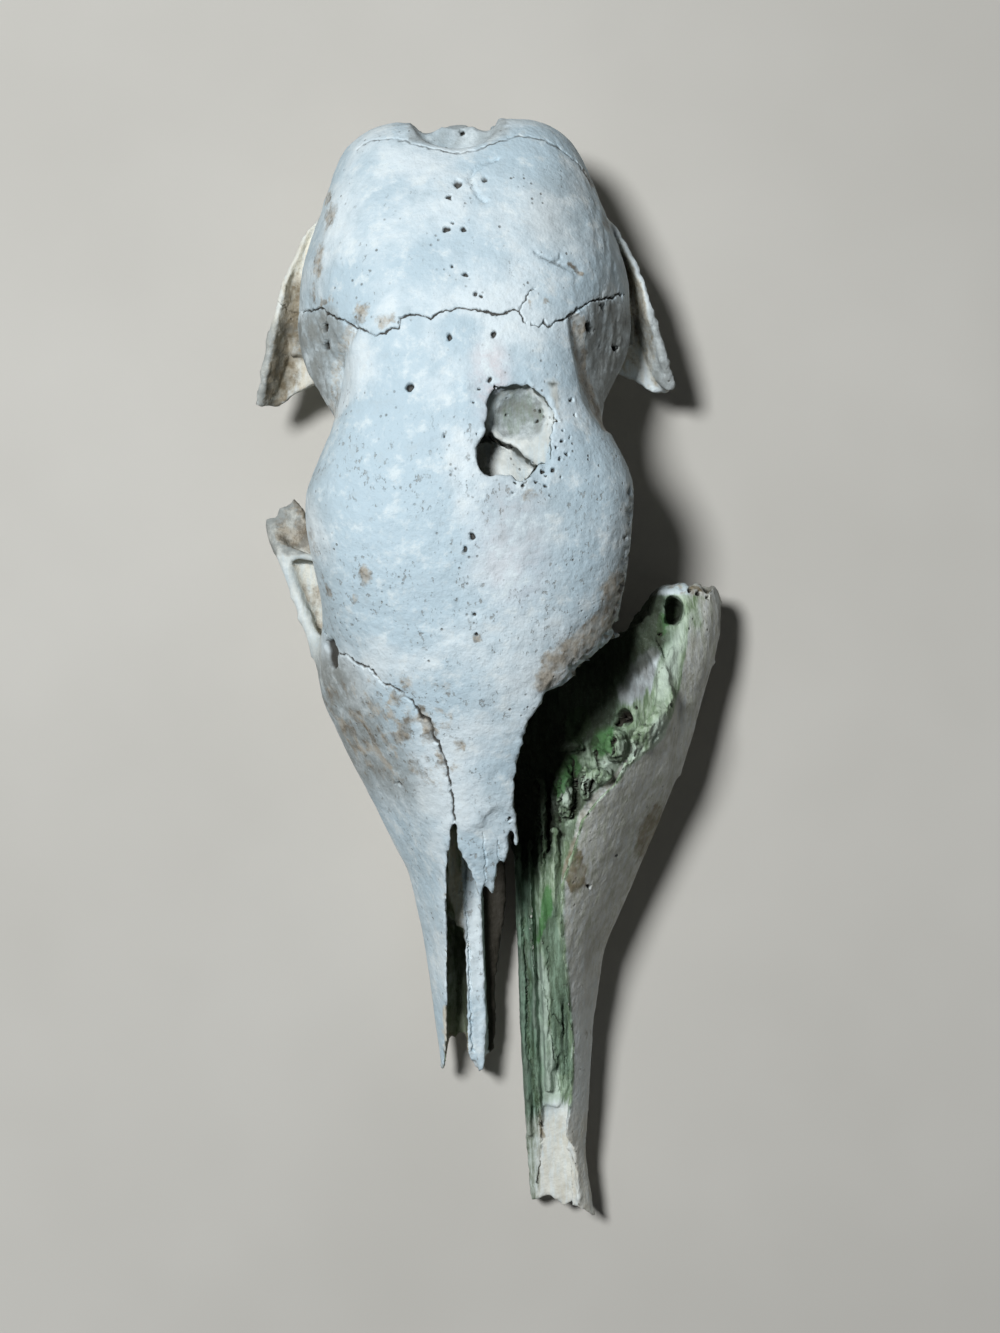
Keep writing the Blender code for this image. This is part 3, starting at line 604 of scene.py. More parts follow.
# %% Sinus sheet
DISH_X, DISH_Y = 4.9, 22.95
SINUS_EDGE = [
    (0.2, 23), (1.5, 22), (2.15, 21.25), (3.1, 20.4), (4.2, 20.05), (4.8, 19.35), (5.6, 18.6),
    (6.4, 17.9), (7.6, 16.8),
]


def sinus_height(places):
    x, y = places.T
    dx, dy = x - DISH_X, y - DISH_Y
    radius = np.hypot(dx, dy)
    dish = 25 + 0.09 * radius ** 2
    beside = (0.75 * dx - 0.66 * dy) / (radius + 0.1)
    shelf = rise(radius, 2.3, 2.9) * rise(beside, 0, 0.45)
    crescent = 0.7 * rise(-dx * 0.6 + dy * 0.8, 1.8, 2.05)
    rear = (dish + crescent) * (1 - shelf) + 26.3 * shelf
    behind = y > read_off(x, SINUS_EDGE)
    gap = line_distance(places, SINUS_EDGE)
    front = 22.7 + 0.42 * (x - 1) + 0.2 * np.sin(1.7 * x + y)
    height = np.where(behind, rear, front)
    crest = 26.1 + 0.12 * np.sin(5 * x)
    lifted = np.where(behind, fade(gap, 0.1, 0.7), fade(gap, 0, 0.35))
    height = height + (np.maximum(crest, height) - height) * lifted
    # The lower right corner of the hole is still closed by the outer bone
    corner = np.minimum(0.75 * (x - 5.3) - 0.66 * (y - 17.2), 18.2 - y + 0.2 * (x - 6.1))
    corner = rise(corner + 0.12 * np.sin(9 * (x - y)), -0.05, 0.2)
    return height * (1 - corner) + (27.75 - 0.22 * (x - 5.5)) * corner


def grown_piece(name, bm):
    bmesh.ops.recalc_face_normals(bm, faces=bm.faces[:])
    mesh = bpy.data.meshes.new(name)
    bm.to_mesh(mesh)
    bm.free()
    piece = bpy.data.objects.new(name, mesh)
    scene.collection.objects.link(piece)
    return piece


def sinus_sheet():
    bm = bmesh.new()
    bmesh.ops.create_grid(bm, x_segments=56, y_segments=66, size=0.5)
    places = np.array([(8.2 * v.co.x + 4, 10.2 * v.co.y + 20.9) for v in bm.verts])
    for vertex, place, height in zip(bm.verts, places, sinus_height(places)):
        vertex.co = [MM * value for value in (*(place + SKULL_SHIFT[:2]), height)]
    bmesh.ops.solidify(bm, geom=bm.faces[:], thickness=0.9 * MM)
    return grown_piece("sinus_sheet", bm)


# %% [markdown]
# Splinters of the nose
#
# The thin bone over the nose broke into splinters along its grain. Its tip is cut away and
# grown again as two torn plates. Each form starts as an outline at its lower level, seen
# from above, and is pushed up to its upper one.

# %% Splinter notches
def level_at(level, x, y):
    """A level that is a number, or a function of the place."""
    return level(x, y) if callable(level) else level


def wedge(name, outline, low, high):
    """A closed block with this outline, drawn from above in the skull's millimetres. low and
    high are levels, or functions of x and y."""
    bm = bmesh.new()
    corners = [(x + SKULL_SHIFT[0], y + SKULL_SHIFT[1], level_at(low, x, y)) for x, y in outline]
    bm.faces.new([bm.verts.new([MM * value for value in corner]) for corner in corners])
    pushed = bmesh.ops.extrude_face_region(bm, geom=bm.faces[:])["geom"]
    for vertex in [item for item in pushed if isinstance(item, bmesh.types.BMVert)]:
        x, y = np.array(vertex.co[:2]) / MM - SKULL_SHIFT[:2]
        vertex.co.z = MM * level_at(high, x, y)
    return grown_piece(name, bm)


# The broken tip of the nose bone is cut away in front of this border and grown again as two
# overlapping plates with torn ends, the right one lying a little lower
SHARD_CUT = (
    (-3, -14.7), (-2.4, -14.9), (-0.3, -15.6), (0.1, -14.7), (0.45, -13.9), (0.95, -13.4),
    (1.65, -13.1), (2, -13.3), (2.35, -13.8), (3.6, -13.8), (3.6, -22.6), (-3, -22.6),
)
LEFT_SHARD = (
    (-2.35, -13.6), (-2.35, -15.2), (-2.45, -17), (-2.15, -17.2), (-2.04, -17.8), (-1.89, -18.2),
    (-1.66, -18.2), (-1.51, -18.8), (-1.2, -19.5), (-0.95, -20.2), (-0.8, -21), (-0.5, -22),
    (-0.22, -21.2), (-0.08, -20.2), (0.2, -17), (0.1, -13.6),
)
RIGHT_SHARD = (
    (-0.1, -13), (0, -18), (0.05, -20.2), (0.28, -21), (0.55, -21.5), (0.8, -21.75), (0.97, -21),
    (1.1, -20.2), (1.27, -19.3), (1.33, -18.7), (1.55, -18.2), (1.95, -18.8), (2.25, -17.9),
    (2.42, -17), (2.42, -15), (2.85, -15), (2.92, -17.15), (3.3, -16.95), (3.32, -14.8), (3.1, -13.2),
)


def shard_top(x, y):
    return 18.15 + 0.41 * (y + 17) - 0.04 * (x - 0.2) ** 2


notches = [wedge("nose_tip", SHARD_CUT, 12.5, 24)]
shards = [
    wedge("left_shard", LEFT_SHARD, lambda x, y: shard_top(x, y) - 1.3, shard_top),
    wedge(
        "right_shard", RIGHT_SHARD,
        lambda x, y: shard_top(x, y) - 1.6, lambda x, y: shard_top(x, y) - 0.35,
    ),
]
EYE_FLOOR = ((-18.4, 10.6), (-15, 10.9), (-13, 4.2), (-14, 2.6), (-16.2, 5.8))
eye_floor = wedge("eye_floor", EYE_FLOOR, 6.8, 9.2)
# The hole's ragged rim, and bites out of the broken edge of the forehead
HOLE_RIM = (
    (2.46, 25.05), (3.1, 25.35), (3.6, 25.1), (4.5, 25.4), (5.3, 25.2), (5.7, 25.6), (5.95, 25.05),
    (6.4, 24.85), (6.95, 24.26), (7.3, 23.95), (7.55, 23.3), (7.9, 22.9), (7.7, 22.4), (7.95, 22.1),
    (7.55, 21.6), (7.8, 21.2), (7.3, 20.75), (7.65, 20.3), (7.35, 19.9), (7.6, 19.3), (7.25, 18.9),
    (7.55, 18.3), (7.2, 17.8), (6.6, 17.4), (5.9, 17.1), (5.44, 17.05), (4.8, 16.6), (4.2, 16.85),
    (3.9, 17.35), (3.59, 17.5), (3, 17.3), (2.5, 17.55), (2, 17.2), (1.57, 17.3), (1.25, 17.8),
    (0.95, 18.1), (0.75, 18.5), (0.95, 18.96), (0.75, 19.3), (0.95, 19.7), (0.9, 20.1), (1.35, 20.5),
    (1.5, 21.1), (2.05, 21.45), (1.5, 21.6), (1.45, 22.05), (2.05, 22.3), (1.95, 22.8), (2.1, 23.3),
    (1.85, 23.8), (2.1, 24.4),
)
notches.append(wedge("hole_rim", HOLE_RIM, 22, 31))
EDGE_BITES = [
    ((14.8, 6.6), (13.5, 6), (14.4, 5.3)), ((13.9, 3.9), (12.5, 3.4), (13.5, 2.7)),
    ((15.5, 9.7), (14.5, 9.1), (15.2, 8.4)), ((15.4, 12.9), (14.7, 12.4), (15.2, 12)),
]
notches += [wedge("edge_bite", outline, 12, 29) for outline in EDGE_BITES]
WING_SHELVES = [
    ((-12, 45.2), (-14.2, 43.4), (-15.7, 40), (-16.4, 37), (-17.2, 34.4), (-17, 31), (-12, 32)),
    ((11, 45.2), (12.7, 43.4), (14.4, 40), (15.2, 37), (16.3, 34.4), (16.4, 31), (11, 32)),
]


def shelf_top(x, y):
    return float(np.interp(y, [31, 34, 37, 41, 45], [9.2, 10.2, 10.9, 11.3, 11.5]))


def vomer_top(y):
    return np.interp(-y, [12, 20, 28, 34, 41], [9.4, 8.6, 7.8, 7, 6])


shelves = [wedge("wing_shelf", outline, 8, shelf_top) for outline in WING_SHELVES]
VOMER_STRIP = (
    (-1.95, -13), (-0.7, -13), (-0.7, -20), (-0.7, -28), (-0.7, -34), (-0.75, -38.6), (-1.1, -39.9),
    (-1.6, -39.6), (-1.95, -38), (-1.95, -34), (-1.95, -28), (-1.95, -20),
)
shelves.append(wedge("vomer_strip", VOMER_STRIP, 4, lambda x, y: vomer_top(y) - 0.15))
VOMER_BLADE = (
    (-0.8, -16), (1.7, -16), (1.6, -23), (0.9, -27), (0.2, -31), (0.1, -38), (-0.4, -38.5), (-0.8, -38),
    (-0.8, -28),
)
shelves.append(wedge("vomer_blade", VOMER_BLADE, 3.1, lambda x, y: vomer_top(y) - 2.8))
SLOT_LAMELLA = (
    (-3.35, -15), (-2.95, -15), (-2.85, -19), (-2.8, -23.2), (-2.95, -25.4), (-3.1, -25.4), (-3.2, -21),
)
slot_lamella = wedge("slot_lamella", SLOT_LAMELLA, 3, 8.3)
print("notches", len(notches), "plates", len(shelves) + len(shards))

# %% [markdown]
# The cranium
#
# Remeshing at about a fifth of a millimetre keeps the thin plates of the nose. The broad
# relief comes first: low lumps over the dome, the ridge where the dome meets the swollen
# side of the braincase, and streaky fibres on that side.

# %% Cranium mesh
COARSE = 1
CRANIUM_VOXEL = 0.22 * COARSE
CRANIUM_TRIANGLES = 92000 if COARSE == 1 else 60000
grown = [sinus_sheet(), slot_lamella, eye_floor] + shelves + shards
cranium = fine_copy("cranium_bone", "cranium", CRANIUM_VOXEL, grown, notches)
melt_facets(cranium, 60)

# %% Cranium relief
LEFT_DOME_EDGE = [(-10.4, 31.6), (-11.7, 29.1), (-12.3, 27), (-12.7, 25.2), (-13.6, 22.5)]
RIGHT_DOME_EDGE = [(10.3, 31.6), (10.6, 28.9), (11, 26.6), (11.6, 24), (13, 22)]
FRONTAL_BREAK = [
    (15.3, 16), (15, 12.6), (14.7, 9.4), (14, 5.8), (13.4, 3.6), (12.8, 2.1), (11.7, 1.4), (10.9, 0.6),
    (9.3, -0.3), (8.9, -1.3), (7.7, -2.2), (6.3, -2.5), (5.9, -3.6), (4.6, -5.2), (4, -7.2),
    (3.3, -10.1), (3, -13.7),
]


def on_bulge(points):
    """1 on the swollen side walls of the braincase below the dome."""
    x, y, z = points.T
    right = np.interp(y, [22, 25.6, 27, 29.1, 31.3, 36], [13.6, 12.7, 12.4, 11.8, 10.5, 12.4])
    left = np.interp(y, [22, 24.2, 26.1, 28.9, 31, 36], [12.4, 11.5, 11.1, 10.7, 10.4, 12.4])
    side = np.abs(x) - np.where(x < 0, right, left)
    front = rise(y, 22, 24) * fade(y, 33.2, 34.6)
    return rise(side, 0, 0.7) * front * (z > 8.5)


def broad_relief(piece):
    points, normals, local = read_piece(piece)
    x, y, z = local.T
    bulge = on_bulge(local)
    push = 0.12 * waves(local, 5, 3.1) + 0.07 * waves(local, 1.5, 9.7, 3)
    push += bulge * (0.15 + 0.2 * waves(local, (0.8, 1.9, 1), 4.4, 3))
    streaked = rise(np.abs(x), 10.5, 12.5) * (y > 34) * (z > 11)
    push += streaked * 0.14 * waves(local, (0.8, 2.2, 1.4), 6.1, 3)
    for edge in (LEFT_DOME_EDGE, RIGHT_DOME_EDGE):
        push -= 0.6 * near_line(local, edge, 0.1, 0.9) * (z > 14)
    raggedness = 0.15 + 0.85 * rise(y, -3, 0)
    bites = near_line(local, FRONTAL_BREAK, 0.3, 1) * (z > 11)
    bites *= np.maximum(waves(local, (0.65, 0.65, 1.1), 5.7, 4), 0) * raggedness
    steepness = np.maximum(np.hypot(normals[:, 0], normals[:, 1]), 0.2)
    points[:, :2] -= bites[:, None] * (normals[:, :2] / steepness[:, None])
    cut = rise(-normals[:, 2], 0.2, 0.6) * in_box(local, (8, FAR), (-3, 18), (8, FAR))
    points[:, 2] += 0.3 * cut * waves(local, (2.1, 1.6, 5), 2.9, 4)
    vomer = rise(-y, 15, 21) * rise(x, -3.1, -2.6) * (x < 3) * (z < 12)
    points[:, 0] += 0.42 * vomer * (1 - 0.6 * rise(-y, 34, 39))
    thick = np.clip(normals[:, 2] + 0.4, 0.15, 1)
    move_points(piece.data, points + (push * thick - 0.05)[:, None] * normals)


broad_relief(cranium)
thin_out(cranium, CRANIUM_TRIANGLES)

# %% Cranium marks
def washed_share(points):
    """From 1 on the rain-washed upper side to 0 low on the walls, with a ragged border."""
    border = np.interp(points[:, 1], [-20, 0, 20, 44, 52], [8.4, 14, 16.5, 11, 7.4])
    return rise(points[:, 2] - border + 1.1 * waves(points, 2.6, 6.9, 3), -1.6, 1.6)


def cranium_marks_area(points, normals):
    x, y, z = points.T
    up = normals[:, 2]
    sides = (np.abs(x) > 11) & ((y > 25) & (z > 9.5) | (y < 3.2) & (z > 6))
    strip = in_box(points, (-2.3, -0.1), (-FAR, -17), (5.4, FAR))
    upper = (washed_share(points) > 0.5) & (up > 0.12) & (z > np.where(y < -8, 8, 14.5))
    return upper | (sides & (up > 0.05)) | (strip & (up > 0.3))


# Reach beyond a mark, longest edge left whole, widest half width of a mark
FINE = [(0.5, 0.35, 9), (0.28, 0.2, 9), (0.15, 0.1, 0.13)]
if COARSE > 1:
    FINE = FINE[:1]
refine(cranium, CRANIUM_LINES, CRANIUM_PITS, cranium_marks_area, FINE)
cranium_dark = engrave(cranium, CRANIUM_LINES, CRANIUM_PITS, cranium_marks_area)
cranium_sky, cranium_open = sky_and_openness(cranium)
print("sky share", round(float(cranium_sky.mean()), 2), "openness", round(float(cranium_open.mean()), 2))

# %% [markdown]
# Stains and painted shade
#
# Each point carries a few masks: how dark a mark it is in, how brown, green, ivory or
# grey it has gone, and how open it lies, which sets its painted shade. The shader breaks
# their edges up with finer noise, so the masks themselves may be soft.

# %% Cranium stains and painted shade
def write_masks(piece, **groups):
    """Keeps up to three masks a group as one colour attribute of the points."""
    for name, masks in groups.items():
        made = piece.data.attributes.new(name, "FLOAT_COLOR", "POINT")
        values = np.ones((len(piece.data.vertices), 4), np.float32)
        for k, mask in enumerate(masks):
            values[:, k] = np.clip(mask, 0, 1)
        made.data.foreach_set("color", values.ravel())


# Middle x and y, width, length, turn in degrees and strength of small tan or brown patches
TAN_PATCHES = [
    (-9.2, 32.8, 1, 1.5, 0, 0.42), (-7, 31.8, 1.3, 1, 20, 0.45), (-12.4, 34.3, 1.6, 0.4, 0, 0.6),
    (7.5, 33.4, 0.6, 0.5, 0, 0.5), (10.6, 36.2, 0.9, 0.45, -20, 0.5), (6.2, 33, 0.3, 1, 0, 0.4),
    (-7, 16.9, 0.55, 0.45, 0, 0.7), (-9.6, 8.6, 1, 1.5, 20, 0.5), (-10.9, 6.5, 0.7, 0.9, 0, 0.45),
    (-13.4, 7.5, 0.5, 0.9, 0, 0.6), (-3.7, -3.8, 0.9, 0.5, 0, 0.45), (-2.6, -4.2, 0.7, 0.5, 0, 0.4),
    (-7.4, -6.3, 1.3, 0.8, 30, 0.6), (-8.2, -4.3, 0.6, 0.9, 0, 0.45), (-11.1, -4.1, 0.3, 0.7, 0, 0.5),
    (-1.9, -7, 0.8, 1.1, 20, 0.45), (-2.4, -9.2, 0.7, 1, 0, 0.35), (-4.2, -6.5, 0.5, 0.8, 0, 0.4),
    (0.3, 2.6, 0.5, 1.4, 0, 0.4), (5.2, 15.4, 1.6, 0.8, 30, 0.35), (-1.4, 5.2, 0.3, 1.2, 0, 0.4),
    (-12.6, 45, 0.7, 1.2, 0, 0.5), (-12.3, 42.6, 0.9, 2.2, -15, 0.45),
    (-13.4, 38.6, 0.8, 2.6, -12, 0.4), (-14, 35.6, 0.6, 1.6, 0, 0.35), (12.3, 46, 0.5, 1.8, 12, 0.4),
    (13.6, 41.8, 0.6, 2.2, 18, 0.35), (10.4, 30.6, 0.9, 1.3, 0, 0.55), (-14.6, 12.2, 0.8, 2.8, 8, 0.3),
    (-12.4, 24, 1.2, 1.4, 0, 0.3),
]
BROKEN_EDGE_BAND = [(13.2, 7.4), (12.3, 4.9), (11.3, 3.1), (9.2, 1.6), (7.2, 0.2), (6.2, -1.4)]
# Parts of the cranium: their ranges of x, y and z
CHEEK = ((-FAR, -13.2), (-1, 17.5), (-FAR, 13.8))
EYE_BOTTOM = ((-FAR, FAR), (3, 10.9), (-FAR, 9.8))
SINUS = ((0.4, 8.4), (16.2, 26), (17, 26.7))
HOLE_WALL = ((0.3, 8.3), (16.2, 25.9), (21, 27.9))
# Box of the painted rim shadow in the hole
RIM_SHADOW_BOX = ((0.3, 8.3), (20.6, 26), (20, 27.6))
BLADE = ((-0.3, 2.4), (-FAR, -15.5), (-FAR, 9.5))
SLOT = ((-4.6, -2.25), (-FAR, -15), (-FAR, 9))
STRIP = ((-2.3, -0.1), (-FAR, -17), (-FAR, FAR))


def stain_and_shade_cranium(piece, dark, sky, opened):
    _, normals, points = read_piece(piece)
    x, y, z = points.T
    up = normals[:, 2]
    places = wander(points, 0.45, 1.6, (2.2, 5.5))
    cheek = in_box(points, *CHEEK)
    sinus = in_box(points, *SINUS) * (up > 0.2)
    hole_wall = in_box(points, *HOLE_WALL) * (up < 0.45)
    blade = in_box(points, *BLADE)
    slot = in_box(points, *SLOT)
    strip = in_box(points, *STRIP) * (z > vomer_top(y) - 0.8) * sky
    upper = np.maximum(washed_share(points) * rise(up, -0.1, 0.25) * sky, strip)

    brown = np.zeros(len(points))
    for px, py, wide, long, turn, strength in TAN_PATCHES:
        brown = np.maximum(brown, 1.35 * strength * spot(places, px, py, wide, long, turn))
    edge_band = near_line(places, BROKEN_EDGE_BAND, 0.5, 1.7)
    brown = np.maximum(brown, edge_band * (0.75 + 0.5 * waves(points, 1.5, 8.8, 3)))
    scuffed = rise(-x, 1, 4) * rise(-y, -1, 2) * fade(-y, 8, 14)
    brown = np.maximum(brown, scuffed * (0.28 + 0.75 * waves(points, (1.3, 1.9, 1.3), 6.3, 3)))
    for edge, strength in ((LEFT_DOME_EDGE, 0.5), (RIGHT_DOME_EDGE, 0.7)):
        brown = np.maximum(brown, strength * near_line(places, edge, 0.2, 1))
    brown *= z > 11
    wing = (z < 13.2) * (y > 25) * (y < 45.5) * (np.abs(x) > 12.4) * sky
    wing_edge = np.interp(y, [26, 30, 34, 38, 42, 45], [20.4, 19.4, 18.3, 17.1, 15.2, 13.6])
    rim = np.abs(x) - wing_edge
    deep = rise(rim, -4.2, -0.9) * fade(rim, -0.6, 0) * fade(y, 32, 40)
    brown += wing * deep * np.where(x < 0, 0.6, 0.08)
    fan = cheek * (y > 11.6) * sky
    floor = cheek * in_box(points, *EYE_BOTTOM) * (up > 0.5)
    eye_earth = 0.62 + 0.5 * waves(points, (0.8, 1.8, 1), 2.2)
    brown += floor * eye_earth * rise(-y, -9.8, -7.4)
    inside = fade(opened, 0.25, 0.6) * (1 - upper) * (1 - sinus) * (1 - cheek)
    brown += 0.35 * inside + 0.2 * fan + 0.5 * fan * fade(opened, 0.35, 0.7)

    green = 0.45 * inside * rise(-y, -2, 12) + 0.1 * inside
    green = np.maximum(green, 0.9 * blade)
    green = np.maximum(green, 0.34 * sinus * spot(points, DISH_X, DISH_Y, 3.6, 3.6))
    upper = upper * (1 - hole_wall) * (1 - sinus)
    # Painted shadow that the upper left rim of the hole casts into it
    behind_dish = rise(point_distance(points, 5.35, 22.3), 2.9, 3.8)
    painted_rim_shadow = behind_dish * rise(y - x - 17.2, -1.2, 0.6) * in_box(points, *RIM_SHADOW_BOX)
    dish = sinus * spot(points, DISH_X, DISH_Y, 3.3, 3.3)
    dish = dish * (z < 25.75) * (y > read_off(x, SINUS_EDGE))
    slot_earth = rise(waves(points, (1, 2.4, 1), 3.7), 0, 0.3)
    brown += slot * (z < 7) * np.maximum(0.8 * rise(-y, 33, 36), 0.7 * slot_earth)

    sheltered = 0.75 * (1 - sky) * (1 - upper) * (1 - sinus)
    ivory = wing * np.where(x < 0, 0.35 + 0.45 * (1 - deep), 0.15) + sheltered + 0.8 * inside
    ivory += (
        0.7 * fan + 0.8 * floor + 0.9 * slot * (z > 7)
        + 0.45 * cheek * (1 - fan) * (1 - floor) + 0.5 * sinus * (1 - dish)
    )
    grey = 0.7 * wing * deep * (x < 0) + on_bulge(points) * np.where(x < 0, 0.8, 0.85)
    grey = grey + 1.4 * rise(dish, 0.1, 0.4) + fan
    grey += 0.6 * rise(places[:, 1], 48.6, 49.8) * (np.abs(x) < 4.6) * (z < 20)
    # The flanks of the washed upper side are greyed as painted shade
    flanks = rise(np.abs(x), 11.5, 14)
    grey += 0.25 * spot(places, 5, 15, 5, 7) * upper + 0.25 * flanks * upper * (1 - wing)
    snout_side = rise(-x - 0.55 * y, 9.5, 13.5) * rise(-y, -3, 0)
    # The grey spot at the right of the dome is painted shade
    grey += 0.9 * snout_side * fade(-y, 9, 15) * sky + 0.3 * spot(places, 9, 42, 4, 6) * upper
    blue = 0.5 + 0.5 * waves(points, 7, 6.6) + 0.5 * spot(places, -0.3, 30.6, 3, 2.6)
    blue = (blue + spot(places, -7.5, 14, 8, 14)) * (1 - np.maximum(wing, fan))
    pink = np.maximum(spot(places, 2.2, 26, 2.6, 5), 0.5 * spot(places, 3.5, 11, 5, 8)) * upper
    # Painted shade where the surface is closed in: none on the sinus, cheek, wings and upper slot, full on
    # the walls of the hole, and a little more on the dish
    sunlit = sinus + cheek + wing + slot * (z > 5.5) > 0
    unshaded = np.where(hole_wall, 0, np.maximum(opened, 0.55 * sunlit) - 0.24 * dish)
    worn = 0.35 + 0.65 * fade(y, 18, 26) + 0.6 * waves(points, 3.2, 4.1)
    # The blade beside the vomer is dark green and also painted near black as shade: through the marks, the
    # dark plate colour and the painted shade
    write_masks(
        piece, marks=(np.maximum(dark, 0.9 * blade), brown, green),
        tone=(ivory, grey, unshaded * (1 - painted_rim_shadow) * (1 - blade)), tint=(blue, pink, upper),
        growth=(0.9 * blade, 0, 0), wear=(worn * upper, np.maximum(slot, 0.5 * wing), 0),
    )


stain_and_shade_cranium(cranium, cranium_dark, cranium_sky, cranium_open)
cranium.data.shade_smooth()
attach(cranium, "root")
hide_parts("cranium")

# %% [markdown]
# The loose left jaw
#
# This piece is a trough of thin bone, open above, with the rolled plates of the nose
# still in it. The plates are ragged, so strong small lumps are pressed into the inner
# faces only. Its outer wall stays smooth.

# %% Jaw mesh
RIM_HOLE = (
    (19, 6.3), (19.7, 6), (20.2, 5.3), (20.1, 4.3), (19.7, 3.6), (18.9, 3.2), (18.3, 3.7), (18.35, 5),
    (18.6, 5.9),
)
rim_hole = wedge("rim_hole", RIM_HOLE, 9, 24)
# Evens the step between the inner plate and the outer wall, so that one ridge is left
RIDGE_FILL = ((17.4, -1.2), (17.6, -4.4), (18.3, -4.8), (19.6, -2.6), (20.3, 0.6), (20.2, 2.2), (18.8, 1.4))
HOLE_FLOOR = ((17.8, 2.9), (20.8, 2.9), (20.9, 6.6), (18.4, 6.8))
hole_floor = wedge("hole_floor", HOLE_FLOOR, 4.6, 7)
# Growth and dirt fill the gaps between the long thin plates nearly to their tops. The right
# border keeps clear of the tooth sockets
PLATE_FILL = (
    (2.9, -20), (6.7, -20), (6.7, -30.5), (7.5, -32), (7.6, -42), (6.5, -44), (3.5, -44), (3.2, -36),
    (2.95, -28),
)
PLATE_TOPS = [(-44, 4.1), (-30, 5), (-20, 5.5)]
plate_fill = wedge("plate_fill", PLATE_FILL, 3, lambda x, y: read_off(y, PLATE_TOPS))
RIM_BITES = [
    ((18, 8.2), (18.55, 6.35), (18.9, 8.4)), ((19.3, 8.4), (19.75, 6.75), (20.1, 8.4)),
    ((20.4, 8.4), (20.9, 6.2), (21.5, 8.4)), ((22, 8), (22.4, 5.7), (23.3, 7.4)),
]
rim_notches = [rim_hole] + [wedge("rim_bite", outline, 6, 20) for outline in RIM_BITES]
ridge_fill = wedge("ridge_fill", RIDGE_FILL, 8, lambda x, y: 15.1 - (x - 17.8) - 0.15 * (y + 2))
JAW_VOXEL = 0.2 * COARSE
JAW_TRIANGLES = 92000 if COARSE == 1 else 50000
jaw_grown = [ridge_fill, hole_floor, plate_fill]
jaw = fine_copy("loose_jaw_bone", "loose_left_upper_jaw", JAW_VOXEL, jaw_grown, rim_notches)
melt_facets(jaw, 40)
# Along the upper edge of the outer wall, y and x
JAW_EDGE = [
    (-54, 8.8), (-52.3, 8.6), (-47.8, 7.9), (-45.8, 7.3), (-42.7, 7.9), (-36.8, 8.2), (-29.7, 7.8),
    (-24.7, 7.4), (-20.3, 7.6), (-16.9, 8.8), (-14.5, 9.5), (-12.7, 11), (-11.2, 12.8), (-9.7, 13.9),
    (-8.4, 15.9), (-7.4, 17.4), (-4.6, 18.7), (-2.4, 19.4), (2.1, 20.4), (6.2, 20.8), (9, 21),
]


def jaw_inside(points, normals, beyond=0):
    """1 on the inner and broken faces of the loose jaw, and this far beyond their edge."""
    border = read_off(points[:, 1], JAW_EDGE) + beyond
    inner = fade(points[:, 0] - border, -0.35, 0.15)
    return inner * (points[:, 2] > 3) * (normals[:, 2] > -0.35)


def ragged_relief(piece):
    points, normals, local = read_piece(piece)
    y = local[:, 1]
    inner = jaw_inside(local, normals, -0.35)
    front = rise(-y, 44.5, 46.5)
    far = rise(-y, 17, 23)
    lumps = 0.42 * waves(local, (1, 1.5, 1.3), 7.7, 4) + 0.15 * waves(local, (0.4, 0.6, 0.6), 2.4, 3)
    fibres = 0.16 * waves(local, (0.55, 5, 1.6), 1.4, 3) + 0.07 * waves(local, (0.25, 3, 0.8), 9.4, 2)
    smooth_plate = np.maximum(spot(local, 15.8, -1.6, 3.2, 6.4, -28), 0.7 * rise(y, -7, -3))
    inward = inner * (1 - front) * ((1 - far) * (1 - 0.9 * smooth_plate) * lumps + far * fibres)
    smooth_wall = (1 - inner) * (0.06 * waves(local, 4, 3.3) + 0.04 * waves(local, 1.3, 8.8, 3))
    move_points(piece.data, points + (inward + smooth_wall - 0.04)[:, None] * normals)


ragged_relief(jaw)
thin_out(jaw, JAW_TRIANGLES)

# %% Jaw marks
JAW_FLOOR_CRACK = [(4.7, -46.3), (4.6, -48.3), (4.4, -49.8), (4.1, -51.7)]
JAW_SCROLL_GAPS = [
    [(5.4, -11.5), (5.35, -14), (5.6, -16.6), (5.5, -19.5)], [(7.5, -11), (7.55, -13.5), (7.4, -15.5)],
    [(9, -9.5), (9.2, -12), (8.7, -15.2)], [(11.2, -8.4), (11.6, -10.2), (10.6, -12.6)],
    [(13, -7), (12.8, -9)], [(6.4, -12.2), (6.5, -14.8), (6.2, -17)], [(9.9, -10.4), (10.2, -12.8)],
]
LAMELLA_GAPS = [
    [(4.3, -24), (4.4, -28.4), (4.5, -30), (5.8, -33), (5.9, -36), (6.4, -39), (6.6, -42.4)],
    [(5.9, -27.9), (6, -31.2)], [(7.3, -39), (7.1, -42)],
    [(3.6, -25), (3.8, -31), (3.7, -36), (4.1, -41), (4.7, -46.3)],
    [(6.3, -34.6), (7.1, -35.6), (7.2, -37)],
]
JAW_LINES = [(JAW_FLOOR_CRACK, 0.09, 0.2, 0.9)]
JAW_LINES += [(gap, 0.16, 0.6, 0.9) for gap in JAW_SCROLL_GAPS]
JAW_LINES += [(gap, 0.11, 0.22, 0.45) for gap in LAMELLA_GAPS]
JAW_PITS = [
    (14.2, -5.4, 0.7, 1.2), (13.7, -5.9, 0.45, 0.8), (20.77, 6.7, 0.25, 0.4), (21.7, 6.4, 0.3, 0.4),
    (22.6, 6, 0.2, 0.3), (17.8, 2.6, 0.25, 0.4), (9.9, -21, 0.25, 0.3), (12.6, -18.5, 0.2, 0.25),
    (18.4, -4.2, 0.2, 0.3), (15.2, -4.6, 0.22, 0.4),
]


def jaw_upper(points, normals):
    return (normals[:, 2] > 0.1) & (points[:, 2] > 3)


refine(jaw, JAW_LINES, JAW_PITS, jaw_upper, FINE)
jaw_dark = engrave(jaw, JAW_LINES, JAW_PITS, jaw_upper)
jaw_sky, jaw_open = sky_and_openness(jaw)
